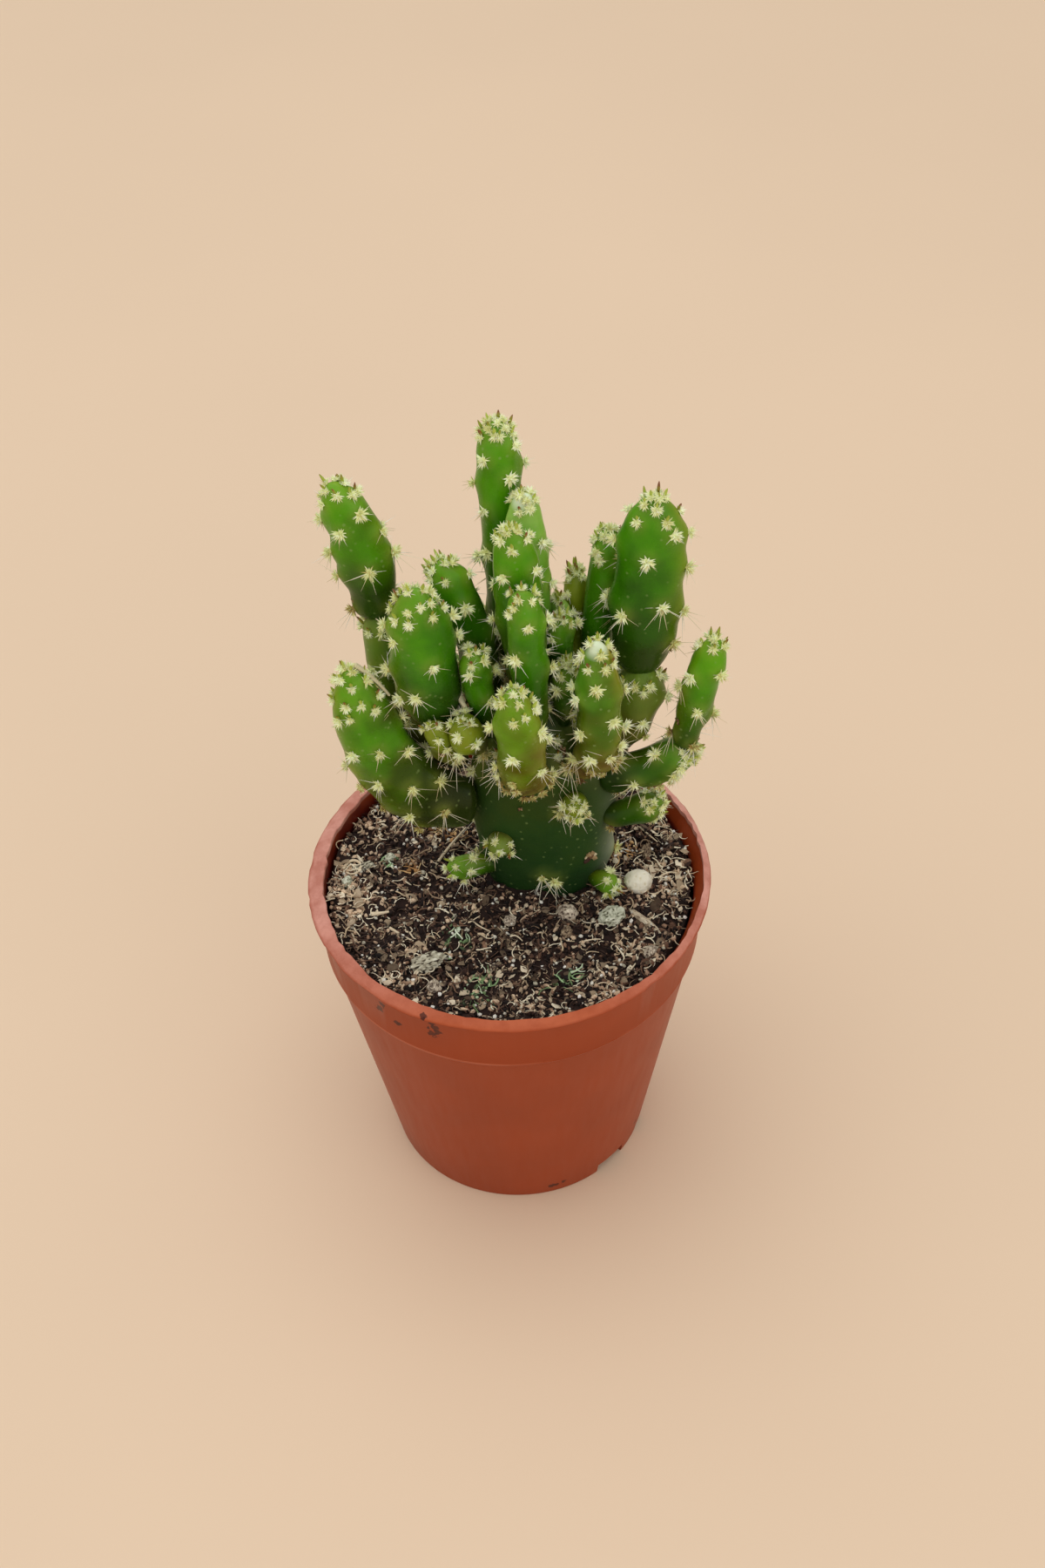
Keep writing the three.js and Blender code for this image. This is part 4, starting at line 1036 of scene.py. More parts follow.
def soil_spots(chance, count):
    """Free places on the soil, clear of the trunk."""
    spots = []
    while len(spots) < count * 1.1:
        radius = SOIL_EDGE * math.sqrt(chance.random())
        angle = chance.uniform(0, TURN)
        x, y = radius * math.cos(angle), radius * math.sin(angle)
        spots.append(Vector((x, y, soil_top(x, y) + chance.uniform(-0.15, 0.3) * MM)))
    taken = near_flesh(SEGMENTS[0], [tuple(spot) for spot in spots], 0.1 * MM)
    return iter([spot for spot, inside in zip(spots, taken) if not inside])


def crumb_template(chance, rough):
    """An angular crumb of about unit radius."""
    bm = bmesh.new()
    bmesh.ops.create_icosphere(bm, subdivisions=1, radius=1)
    for vert in bm.verts:
        vert.co *= 1 - chance.random() * rough
    return to_template(bm, "crumb")


def strand(places, thickness, steps=3):
    """A round strand along a smooth curve through some places, thinner toward its end."""
    curve = bpy.data.curves.new("strand", "CURVE")
    curve.dimensions = "3D"
    curve.bevel_depth = thickness / 2
    curve.bevel_resolution = 0
    curve.use_fill_caps = True
    curve.resolution_u = steps
    spline = curve.splines.new("NURBS")
    spline.points.add(len(places) - 1)
    spline.use_endpoint_u = True
    for i, (point, place) in enumerate(zip(spline.points, places)):
        point.co = (*place, 1)
        point.radius = 1.1 - 0.6 * i / (len(places) - 1)
    holder = bpy.data.objects.new("strand", curve)
    mesh = bpy.data.meshes.new_from_object(holder)
    bpy.data.objects.remove(holder)
    return mesh, [0.0] * len(mesh.vertices)


def fibre_template(chance):
    """A curled fibre about 2 mm long, lying near the ground."""
    heading = 0.0
    places = [Vector((0, 0, 0))]
    for _ in range(4):
        heading += chance.uniform(-0.8, 1.2)
        step = Vector((math.cos(heading), math.sin(heading), chance.uniform(-0.2, 0.2)))
        places.append(places[-1] + step * 0.5 * MM)
    return strand(places, chance.uniform(0.12, 0.27) * MM, steps=2)


def flesh_bmesh(segment, sides=54, rings=50):
    """A segment's smooth flesh, from a ball whose poles are its heel and its tip, and each point's place
    along it and round it."""
    bm = bmesh.new()
    bmesh.ops.create_uvsphere(bm, u_segments=sides, v_segments=rings, radius=1)
    in_order(bm)
    places = []
    for vert in bm.verts:
        s = (1 + max(-1.0, min(1.0, vert.co.z))) / 2
        angle = math.atan2(vert.co.y, vert.co.x)
        places.append((s, angle))
        vert.co = segment.skin(s, angle)
    bm.normal_update()
    bmesh.ops.recalc_face_normals(bm, faces=bm.faces)
    bm.normal_update()
    return bm, places


def unevenness(point):
    """How far the skin stands out of its smooth form at a point."""
    return noise.noise(point / SWELL_WIDTH) * SWELL_RISE - SKIN_DEPTH


# Colours at the foot, the middle, the shoulder, the tip and the edges, and the roughness, of each skin
FLESH_LOOKS = {
    # Old skin's edge colour is a painted sheen, a pale band down the trunk's sunny edge
    "old": ("#22421c", "#2e4c1e", "#374c1a", "#3c501e", "#a9b196", 0.34),
    "deep": ("#1f3a0a", "#305a08", "#3f720a", "#4c850c", "#6f7319", 0.3),
    "green": ("#2a4609", "#2e6206", "#428606", "#549c06", "#7c931a", 0.27),
    "weathered": ("#28360c", "#3c5806", "#4c8c06", "#5ca60a", "#8f9c1a", 0.27),
    "dull": ("#3e4014", "#545a16", "#627a24", "#66862a", "#7c8440", 0.3),
    "bright": ("#2c4a0b", "#427206", "#4e9406", "#62a80c", "#8f9c1a", 0.27),
    "amber": ("#4e3c18", "#5c5a0a", "#628a08", "#70ac10", "#8c7422", 0.27),
    "tender": ("#5c461c", "#585c0c", "#47700a", "#5a9a20", "#9c8c1c", 0.2),
    "pale": ("#37640a", "#508c16", "#72b236", "#98cc5c", "#98b048", 0.22),
    "olive": ("#454c0e", "#5e6e0a", "#72880e", "#849418", "#8c7c22", 0.3),
}

# Where a skin has its pale spot of painted highlight: the segment and the pixel of the photograph, and the
# radii within which it is full and past which it is gone
SPOT_HIGHLIGHTS = {"tender": ("paddle_right_front", (685, 741)), "pale": ("paddle_pale", (601, 573))}
SPOT_HIGHLIGHT_FULL = 0.9 * MM
SPOT_HIGHLIGHT_END = 2.1 * MM
# Pixels where the photograph shows wool, segment by segment
SEEN_AREOLES = {
    "paddle_tall_left": [
        (387, 570), (412, 590), (391, 612), (424, 657), (370, 579), (378, 634), (382, 662), (411, 564),
        (437, 611), (450, 634), (406, 699), (374, 564), (384, 551), (391, 551), (396, 555), (371, 552)],
    "paddle_broad_left": [
        (469, 704), (497, 710), (454, 736), (496, 765), (442, 695), (439, 718), (453, 686), (516, 708),
        (523, 729), (523, 767), (443, 768), (461, 800), (478, 799), (448, 811), (463, 671), (469, 681),
        (486, 678), (496, 678), (451, 673)],
    "paddle_low_left": [
        (391, 781), (404, 791), (420, 782), (431, 816), (402, 827), (436, 864), (467, 861), (469, 819),
        (382, 779), (381, 805), (389, 829), (406, 866), (435, 899), (473, 904), (471, 935), (450, 809),
        (417, 902), (504, 896), (510, 931), (394, 766), (402, 764), (404, 772), (387, 762), (423, 769)],
    "paddle_small_left": [
        (511, 669), (496, 656), (534, 696), (536, 660), (499, 644), (511, 647), (519, 646)],
    "ball_front_left": [(534, 820), (540, 831), (524, 817), (548, 811), (526, 846), (530, 828)],
    "ball_left": [(512, 858), (504, 850), (519, 848), (501, 824), (493, 833), (516, 836), (503, 834)],
    "paddle_centre_small": [(540, 774), (547, 749), (539, 751), (524, 767), (568, 769)],
    "paddle_tallest": [
        (568, 501), (574, 502), (589, 511), (557, 527), (584, 548), (557, 586), (546, 554), (604, 530),
        (551, 638), (561, 634), (561, 493), (571, 486), (578, 483), (586, 489)],
    "paddle_pale": [(596, 589), (589, 566), (598, 556), (611, 559), (615, 574), (621, 622)],
    "paddle_centre_back": [
        (585, 606), (574, 604), (575, 621), (605, 619), (588, 633), (613, 654), (578, 661), (582, 612),
        (594, 610)],
    "paddle_centre": [
        (599, 676), (585, 680), (595, 689), (611, 691), (616, 679), (606, 719), (593, 756), (630, 711),
        (584, 706), (631, 765)],
    "paddle_low_centre": [
        (583, 906), (602, 916), (622, 909), (628, 899), (573, 889), (590, 898), (590, 831), (618, 840),
        (589, 870), (619, 884), (572, 809), (567, 834), (615, 801), (617, 811), (570, 880), (631, 889),
        (594, 906), (611, 917), (629, 847), (586, 786), (571, 791), (599, 797), (594, 783), (578, 898)],
    "paddle_right_front": [
        (668, 893), (690, 886), (706, 884), (661, 870), (710, 855), (685, 791), (704, 763), (669, 753),
        (660, 759), (664, 802), (701, 740), (711, 746), (717, 791), (703, 827), (669, 841), (715, 834),
        (678, 870), (699, 869), (679, 883), (656, 881), (654, 789), (689, 713), (714, 876)],
    "paddle_broad_right": [
        (754, 586), (731, 600), (773, 614), (743, 644), (760, 696), (716, 706), (781, 586), (790, 611),
        (787, 650), (782, 700), (771, 736), (756, 564), (747, 571), (764, 571), (756, 573), (740, 580)],
    "paddle_right_behind": [
        (694, 616), (701, 607), (709, 603), (689, 643), (709, 649), (711, 630), (686, 634), (701, 676),
        (698, 690)],
    "neck_right": [(729, 747), (744, 768), (739, 796), (756, 774), (766, 776), (764, 799), (737, 829)],
    "finger_right": [
        (819, 746), (795, 777), (826, 774), (801, 816), (771, 840), (814, 729), (824, 727), (832, 742)],
    "arm_right": [
        (753, 866), (779, 857), (787, 869), (784, 877), (714, 874), (729, 899), (774, 889), (783, 863),
        (791, 873), (780, 882), (770, 897), (757, 902), (789, 862)],
    "finger_right_low": [(756, 904), (746, 930), (757, 913), (770, 901)],
    "bud_face_right": [
        (661, 919), (657, 929), (667, 931), (676, 936), (663, 946), (654, 939), (670, 953), (671, 925)],
    "bud_face_left": [(569, 967), (565, 980), (574, 978), (564, 989), (586, 969), (589, 983)],
    "bud_foot_left": [(511, 997), (519, 986), (543, 986), (540, 999), (533, 1010)],
    "bud_foot_right": [(700, 1003), (697, 1011), (696, 1027), (713, 1024), (705, 1034)],
    "trunk": [
        (641, 868), (646, 880), (552, 870), (545, 884), (640, 850), (716, 905), (527, 880), (520, 895),
        (529, 911), (537, 927), (643, 931), (623, 1006), (637, 1010)],
    "bud_inner": [(663, 714), (653, 703), (671, 713)],
    "bud_inner_dark": [(663, 740), (641, 741), (650, 749)],
    "neck_left": [(444, 768), (430, 768)],
}


def pixel_ray(x, y):
    """Direction from the camera through a pixel of the photograph."""
    focal = LENS / SENSOR * PHOTO_HEIGHT
    across = (x - PHOTO_WIDTH / 2) / focal
    up = (PHOTO_HEIGHT / 2 - y) / focal
    return (CAMERA_RIGHT * across + CAMERA_UP * up - CAMERA_BACK).normalized()


def on_skin(segment, tree, x, y):
    """The point of a segment's skin at a pixel, or the nearest one to the pixel's ray, with its normal."""
    ray = pixel_ray(x, y)
    point, normal, _, _ = tree.ray_cast(CAMERA_PLACE, ray)
    if point is not None:
        return point, normal
    depths = [(station[0] - CAMERA_PLACE).dot(ray) for station in segment.stations]
    spots = [CAMERA_PLACE + ray * depth for depth in depths]
    near = min(spots, key=lambda spot: (tree.find_nearest(spot)[0] - spot).length)
    point, normal, _, _ = tree.find_nearest(near)
    return point, normal


# The areoles of each segment and its skin for casting rays, both filled while the flesh is made
AREOLES = {}
TREES = {}
# Rings of areoles in a crown, as a part of the round cap, with their spacing
CROWN_RINGS = ((0.5, 2.0 * MM), (0.78, 1.5 * MM), (0.94, 1.25 * MM))
CROWN_START = 0.2
CROWN_TUBERCLE = 0.3
# The least gap from a ruled areole to a seen one: in a crown, how much wider on broad paddles and balls, and
# between crown and foot as a share of the row spacing
CROWN_GAP = 1.05 * MM
WIDE_CROWN = 1.45
WIDE_PADDLE = 8 * MM
ROW_GAP = 0.66
# The width under which a bud's tufts are small, how many seen areoles make a segment clear, and the height
# under which the trunk's face has seen ones alone
SLIM_BUD = 3.9 * MM
CLEARLY_SEEN = 9
BARE_TRUNK = 66 * MM


def is_seen(point):
    """Whether nothing of the plant hides a point from the camera."""
    ray = point - CAMERA_PLACE
    reach = ray.length - 1 * MM
    return all(tree.ray_cast(CAMERA_PLACE, ray.normalized(), reach)[0] is None for tree in TREES.values())


def ruled_areoles(segment, settings):
    """Areoles in rows round a segment, each row turned by half a space, and a crowded crown at its tip."""
    chance = random.Random(f"{segment.name} rows")
    around = math.pi * (segment.wide + segment.thick) / 2
    count = max(3, round(around / settings.areole_spacing))
    first, last = segment.cap - 0.04, 0.1
    rows = max(1, int((first - last) * segment.length / settings.row_spacing) + 1)
    for row in range(rows):
        s = first - row * settings.row_spacing / segment.length + chance.uniform(-0.01, 0.01)
        for i in range(count):
            angle = segment.turn + TURN * (i + (row % 2) / 2 + chance.uniform(-0.08, 0.08)) / count
            yield Areole(segment.skin(s, angle), segment.normal(s, angle), s, settings.tubercle)
    crown_height = settings.tubercle * CROWN_TUBERCLE
    roomier = WIDE_CROWN if segment.name.startswith("ball") else 1.0
    for part, spacing in CROWN_RINGS:
        s = segment.cap + (1 - segment.cap) * part
        ring = max(3, round(around * segment.girth(s) / spacing / roomier))
        for i in range(ring):
            angle = segment.turn + TURN * (i + part + chance.uniform(-0.15, 0.15)) / ring
            yield Areole(segment.skin(s, angle), segment.normal(s, angle), s, crown_height, crown=True)
    yield Areole(segment.tip.copy(), segment.axes(1)[0], 1.0, crown_height, crown=True)


def areoles_of(segment, settings):
    """The areoles that the photograph shows, and ruled ones on what it doesn't show clearly."""
    places = []
    for pixel in SEEN_AREOLES.get(segment.name, ()):
        point, normal = on_skin(segment, TREES[segment.name], *pixel)
        share = segment.share(point)
        crown = share > segment.cap + CROWN_START * (1 - segment.cap)
        height = settings.tubercle * (CROWN_TUBERCLE if crown else 1.0)
        places.append(Areole(point, normal, share, height, crown=crown))
    seen = [place.point.copy() for place in places]
    clear = len(seen) >= CLEARLY_SEEN
    roomy = clear and segment.wide > WIDE_PADDLE or segment.name.startswith("ball")
    crown_gap = CROWN_GAP * (WIDE_CROWN if roomy else 1)
    for place in ruled_areoles(segment, settings):
        bare = place.point.z < BARE_TRUNK if segment.name in OLD_SEGMENTS else clear
        if seen and bare and not place.crown and place.normal.dot(CAMERA_PLACE - place.point) > 0:
            if is_seen(place.point + place.normal * MM):
                continue
        gap = crown_gap if place.crown else settings.row_spacing * ROW_GAP
        if all((place.point - point).length > gap for point in seen):
            places.append(place)
    return places


def find_areoles(settings):
    """Keeps every areole that is clear of the other segments and of the soil, segment by segment."""
    for segment in SEGMENTS:
        bm, _ = flesh_bmesh(segment, sides=32, rings=28)
        TREES[segment.name] = BVHTree.FromBMesh(bm)
        bm.free()
    for segment in SEGMENTS:
        places = areoles_of(segment, settings)
        points = [tuple(place.point + place.normal * 0.4 * MM) for place in places]
        hidden = np.zeros(len(points), bool)
        for other in SEGMENTS:
            if other is not segment:
                hidden |= near_flesh(other, points, 0.25 * MM)
        AREOLES[segment.name] = [
            place for place, buried in zip(places, hidden)
            if not buried and place.point.z > soil_top(place.point.x, place.point.y) + 0.5 * MM
        ]


# How a segment's sides turn olive, and on old ones pale with a painted sheen instead: how sharply on old and
# other ones, how much where both sides do, and how fast above the foot
OLD_SHEEN_BAND = 8
FLANK = 3
BOTH_FLANKS = 0.7
FLANK_RISE = 4


class CACTUS_OT_flesh(bpy.types.Operator):
    """Trunk, paddles, fingers and buds, with the skin raised under each areole"""
    bl_idname = "cactus.flesh"
    bl_label = "Flesh"

    def execute(self, context):
        find_areoles(context.scene.cactus_plant)
        segments = {segment.name: segment for segment in SEGMENTS}
        skins = {}
        for kind, look in FLESH_LOOKS.items():
            spot = None
            # The place of the painted highlight on the skins that have one
            if kind in SPOT_HIGHLIGHTS:
                name, pixel = SPOT_HIGHLIGHTS[kind]
                spot, _ = on_skin(segments[name], TREES[name], *pixel)
            skins[kind] = flesh_material(f"waxy_skin_{kind}", spot, *look)
        for segment in SEGMENTS:
            self.grow(segment, skins[segment.skin_kind])
        return {"FINISHED"}

    def grow(self, segment, material):
        bm, places = flesh_bmesh(segment)
        points = np.array([vert.co for vert in bm.verts])
        halo = np.zeros(len(points))
        raised = np.zeros(len(points))
        for place in AREOLES[segment.name]:
            gaps = np.linalg.norm(points - np.array(place.point), axis=1)
            halo = np.maximum(halo, np.exp(-(gaps / HALO_REACH) ** 2))
            raised = np.maximum(raised, np.exp(-(gaps / TUBERCLE_REACH) ** 2) * place.height)
        sharp = OLD_SHEEN_BAND if segment.name in OLD_SEGMENTS else FLANK
        # Painted shade on the +X side of a segment whose sunny side is -X
        inward = SIDE_SHADE if segment.sunny < 0 else 0.0
        flank, rise = [], []
        for (s, angle), vert in zip(places, bm.verts):
            side = math.cos(angle)
            turned = max(0.0, side * segment.sunny or abs(side) * BOTH_FLANKS)
            flank.append(turned ** sharp * min(1, FLANK_RISE * s))
            # Rise is the place along the segment, lowered by painted shade on undersides and on that inner
            # side
            rise.append(s - UNDER_SHADE * max(0.0, -vert.normal.z) * (1 - s) - inward * max(0.0, side))
        for vert, lift in zip(bm.verts, raised):
            vert.co += vert.normal * (lift + unevenness(vert.co))
        finish_mesh(f"flesh_{segment.name}", bm, [material], slot_of(segment), [segment.name],
                    attributes={"rise": rise, "halo": halo, "flank": flank})


# How far inside the solid model's box wool, spines and leaves end
BOX_MARGIN = 0.15 * MM


def in_box(point):
    """Whether a point lies inside the solid model's box."""
    low, high = CAD_BOX
    return all(low[i] + BOX_MARGIN < point[i] < high[i] - BOX_MARGIN for i in range(3))


# A tuft as shares of its radius: its core, and its bristles' number, root, lengths and radii, with the tones
# of both, brighter or darker than the tuft's own; the core is darker as painted shade among the bristles
CORE_RADIUS = 0.5
CORE_HEIGHT = 0.75
CORE_SIZES = (0.75, 1.15)
CORE_SHADE_TONES = (-0.4, -0.15)
BRISTLES = 38
BRISTLE_ROOT = 0.3
BRISTLE_LENGTHS = (0.5, 1.0)
BRISTLE_RADII = (0.13, 0.2)
BRISTLE_TONES = (-0.34, 0.26)
# Tufts on the plant: how far they reach, their sizes by place, and their tones by age, darker by painted
# shade on undersides
TUFT_KINDS = 10
TUFT_REACH = 1.4
TUFT_SIZES = (0.82, 1.18)
TUFT_LIFT = 0.1 * MM
CROWN_TUFT = 0.86
SMALL_TUFT = 0.8
CLIPPED_TUFT = 0.4
WOOL_TONE = 0.86
WOOL_AGEING = 0.6
WOOL_SHADE = 0.3
WOOL_TONES = (-0.12, 0.12)


def tuft_template(chance):
    """A tuft of about unit radius: a felted core, and short thick bristles that stand out of it all round."""
    bm = bmesh.new()
    bmesh.ops.create_icosphere(bm, subdivisions=1, radius=CORE_RADIUS)
    for vert in bm.verts:
        vert.co *= chance.uniform(*CORE_SIZES)
        vert.co.z *= CORE_HEIGHT
    tones = [chance.uniform(*CORE_SHADE_TONES) for _ in bm.verts]
    for _ in range(BRISTLES):
        lean = math.acos(1 - chance.random())
        turn = chance.uniform(0, TURN)
        way = Vector((math.sin(lean) * math.cos(turn), math.sin(lean) * math.sin(turn), math.cos(lean)))
        length = chance.uniform(*BRISTLE_LENGTHS)
        radius = chance.uniform(*BRISTLE_RADII)
        place = Matrix.Translation(way * (BRISTLE_ROOT + length / 2)) @ turned_to(way)
        bmesh.ops.create_cone(bm, cap_ends=True, segments=3, radius1=radius, radius2=0, depth=length,
                              matrix=place)
        tones += [chance.uniform(*BRISTLE_TONES)] * (len(bm.verts) - len(tones))
    return to_template(bm, "tuft", tones)


class CACTUS_OT_wool(bpy.types.Operator):
    """Cushion of yellow wool and short bristles on each areole"""
    bl_idname = "cactus.wool"
    bl_label = "Wool"

    def execute(self, context):
        settings = context.scene.cactus_plant
        chance = random.Random(SEED + 1)
        templates = [tuft_template(chance) for _ in range(TUFT_KINDS)]
        material = tone_material("wool")
        for segment in SEGMENTS:
            copies = []
            for place in AREOLES[segment.name]:
                size = settings.tuft_radius * chance.uniform(*TUFT_SIZES)
                if place.crown:
                    size *= CROWN_TUFT
                under = segment.hides(place)
                if under or segment.wide < SLIM_BUD:
                    size *= SMALL_TUFT
                if not in_box(place.seat() + place.normal * size * TUFT_REACH):
                    size *= CLIPPED_TUFT
                matrix = (Matrix.Translation(place.seat() + place.normal * TUFT_LIFT)
                          @ turned_to(place.normal, chance.uniform(0, TURN)) @ Matrix.Scale(size, 4))
                # Older wool is tan, and wool on undersides is darkened with painted shade
                tone = WOOL_TONE - WOOL_AGEING * (1 - place.share) ** 3 - WOOL_SHADE * under
                tone += chance.uniform(*WOOL_TONES)
                copies.append((chance.choice(templates), matrix, tone))
            if copies:
                gather(f"wool_{segment.name}", copies, material, "young_flesh")
        return {"FINISHED"}


# Tip leaves: how slim the tip is, how tones change along one, how many crown areoles have one, and its sizes
LEAF_SLIMMING = 0.55
LEAF_TONE = 0.15
LEAF_DRYING = 0.75
LEAF_DRY_FROM = 0.45
LEAF_SHARE = 0.75
LEAF_LENGTHS = (0.7, 1.15)
LEAF_RADII = (0.17, 0.24)


def leaf_template():
    """A small pointed leaf of unit length, round and fleshy."""
    bm = bmesh.new()
    bmesh.ops.create_uvsphere(bm, u_segments=7, v_segments=6, radius=1)
    in_order(bm)
    for vert in bm.verts:
        height = (vert.co.z + 1) / 2
        vert.co.x *= 1 - LEAF_SLIMMING * height
        vert.co.y *= 1 - LEAF_SLIMMING * height
        vert.co.z = height
    return to_template(bm, "leaf", [LEAF_TONE - LEAF_DRYING * max(0.0, vert.co.z - LEAF_DRY_FROM)
                                    for vert in bm.verts])


class CACTUS_OT_leaves(bpy.types.Operator):
    """Short-lived pointed leaves between the tufts of each young tip"""
    bl_idname = "cactus.leaves"
    bl_label = "Leaves"

    def execute(self, context):
        settings = context.scene.cactus_plant
        chance = random.Random(SEED + 3)
        template = leaf_template()
        copies = []
        for segment in SEGMENTS:
            up = segment.axes(1)[0]
            for place in AREOLES[segment.name]:
                if not place.crown or chance.random() > LEAF_SHARE:
                    continue
                way = (place.normal * 0.5 + up * 0.7).normalized()
                length = settings.leaf_length * chance.uniform(*LEAF_LENGTHS)
                foot = place.seat() - place.normal * 0.15 * MM + up * 0.35 * MM
                if not in_box(foot + way * length):
                    continue
                radius = settings.leaf_length * chance.uniform(*LEAF_RADII)
                form = Matrix.Diagonal((radius, radius, length, 1))
                matrix = Matrix.Translation(foot) @ turned_to(way) @ form
                copies.append((template, matrix, chance.random()))
        gather("tip_leaves", copies, tone_material("leaf"), "young_flesh", smooth=True)
        return {"FINISHED"}


# Dried scraps on the skin: the segment, the pixel of the photograph and the size in millimetres
SCRAPS = (
    ("trunk", (678, 985), 2.6), ("finger_right", (835, 742), 1.0), ("finger_right_low", (771, 899), 1.2),
    ("finger_right_low", (765, 897), 0.9), ("paddle_low_left", (500, 862), 1.3),
    ("ball_left", (507, 868), 1.4), ("paddle_low_left", (513, 880), 1.2), ("trunk", (519, 874), 1.3),
    ("paddle_low_left", (506, 878), 1.0), ("neck_left", (406, 699), 0.9), ("paddle_tallest", (552, 639), 1.0),
    ("trunk", (597, 930), 0.9), ("neck_right", (766, 790), 1.0), ("paddle_low_centre", (576, 905), 1.0),
    ("paddle_low_centre", (596, 921), 0.9), ("trunk", (560, 800), 1.0), ("trunk", (646, 860), 1.2),
    ("trunk", (651, 868), 1.1), ("paddle_centre_small", (531, 800), 1.5),
    ("paddle_centre_small", (535, 809), 1.3), ("arm_right", (786, 893), 1.1),
    ("finger_right", (777, 829), 1.0), ("paddle_tall_left", (386, 700), 1.0),
)
# A scrap's grains: their number, and how far they spread and how large they are as shares of its size
SCRAP_GRAINS = 11
SCRAP_SPREAD = 0.32
SCRAP_SIZES = (0.1, 0.25)
# Long dried leaves that lie on the skin: the segment, the thickness and the pixels that they pass
DRY_STRANDS = (
    ("paddle_low_left", 0.75, ((408, 762), (424, 771), (438, 784), (446, 799))),
    ("neck_left", 0.3, ((417, 694), (424, 702), (431, 709), (439, 716))),
    ("paddle_centre_small", 1.1, ((526, 797), (530, 800), (534, 804), (537, 809))),
)
STRAND_LIFT = 0.45 * MM
STRAW_TONE = 1.3


class CACTUS_OT_scraps(bpy.types.Operator):
    """Dried scabs, withered leaves and torn skin that cling to the plant"""
    bl_idname = "cactus.scraps"
    bl_label = "Scraps"

    def execute(self, context):
        chance = random.Random(SEED + 4)
        templates = [crumb_template(chance, rough=0.5) for _ in range(5)]
        material = tone_material("scab")
        segments = {segment.name: segment for segment in SEGMENTS}
        copies = []
        for name, pixel, size in SCRAPS:
            point, normal = on_skin(segments[name], TREES[name], *pixel)
            for _ in range(SCRAP_GRAINS):
                drift = Vector((chance.uniform(-1, 1), chance.uniform(-1, 1), chance.uniform(-1, 1)))
                drift -= normal * drift.dot(normal)
                spot = point - normal * SKIN_DEPTH / 2 + drift * size * SCRAP_SPREAD * MM
                half = size * MM * chance.uniform(*SCRAP_SIZES)
                shape = Matrix.Diagonal((half * 1.3, half, half * 0.6, 1))
                matrix = Matrix.Translation(spot) @ turned_to(normal, chance.uniform(0, TURN)) @ shape
                copies.append((chance.choice(templates), matrix, chance.random()))
        gather("dried_scraps", copies, material, "bark")
        copies = []
        for name, width, pixels in DRY_STRANDS:
            hits = [on_skin(segments[name], TREES[name], *pixel) for pixel in pixels]
            places = [point + normal * STRAND_LIFT for point, normal in hits]
            copies.append((strand(places, width * MM), Matrix.Identity(4), STRAW_TONE))
        gather("dried_leaves", copies, material, "bark", smooth=True)
        return {"FINISHED"}


# Spines: how many there are on an areole by its place, the share of a segment under which they grow long,
# and how fast, the least age where a segment is spiny, and how their sizes and ways vary
SPINES_FACE = 7
SPINES_UNDER = 3
SPINES_CROWN = (2, 3)
LONG_BELOW = 0.92
SPINE_AGEING = 1.9
SPINY_AGE = 0.4
SPINE_LENGTHS = (0.55, 1.1)
SPINE_RADII = (0.8, 1.15)
SPINE_OUT = 0.6
SPINE_SAG = (0.3, 0.6)


def spine_template():
    """A straight spine of unit length that tapers from its root to its tip."""
    bm = bmesh.new()
    bmesh.ops.create_cone(bm, cap_ends=True, segments=4, radius1=1, radius2=0.15, depth=1,
                          matrix=Matrix.Translation((0, 0, 0.5)))
    return to_template(bm, "spine")


class CACTUS_OT_spines(bpy.types.Operator):
    """Thin pale spines that lean out and down, longer on the older parts"""
    bl_idname = "cactus.spines"
    bl_label = "Spines"

    def execute(self, context):
        settings = context.scene.cactus_plant
        chance = random.Random(SEED + 2)
        template = spine_template()
        material = tone_material("spine")
        for segment in SEGMENTS:
            copies = []
            for place in AREOLES[segment.name]:
                under = segment.hides(place)
                count = SPINES_UNDER if under else SPINES_FACE
                if place.crown:
                    count = chance.randint(*SPINES_CROWN)
                age = 0.0 if under else min(1.0, max(0.0, LONG_BELOW - place.share) * SPINE_AGEING)
                age = max(age, SPINY_AGE) if segment.spines > 1 else age
                usual = settings.young_spine + (settings.spine_length - settings.young_spine) * age
                for _ in range(count):
                    length = usual * chance.uniform(*SPINE_LENGTHS) * segment.spines
                    sag = Vector((0, 0, -chance.uniform(0.0, SPINE_SAG[0] + SPINE_SAG[1] * age)))
                    side = Vector((chance.uniform(-1, 1), chance.uniform(-1, 1), chance.uniform(-0.5, 0.5)))
                    way = (place.normal * SPINE_OUT + sag + side).normalized()
                    if way.dot(place.normal) < 0.05:
                        way = (way + place.normal * 0.4).normalized()
                    if not in_box(place.seat() + way * length):
                        continue
                    radius = settings.spine_radius * chance.uniform(*SPINE_RADII)
                    matrix = (Matrix.Translation(place.seat()) @ turned_to(way)
                              @ Matrix.Diagonal((radius, radius, length, 1)))
                    copies.append((template, matrix, chance.random()))
            if copies:
                gather(f"spines_{segment.name}", copies, material, "young_flesh", smooth=True)
        return {"FINISHED"}


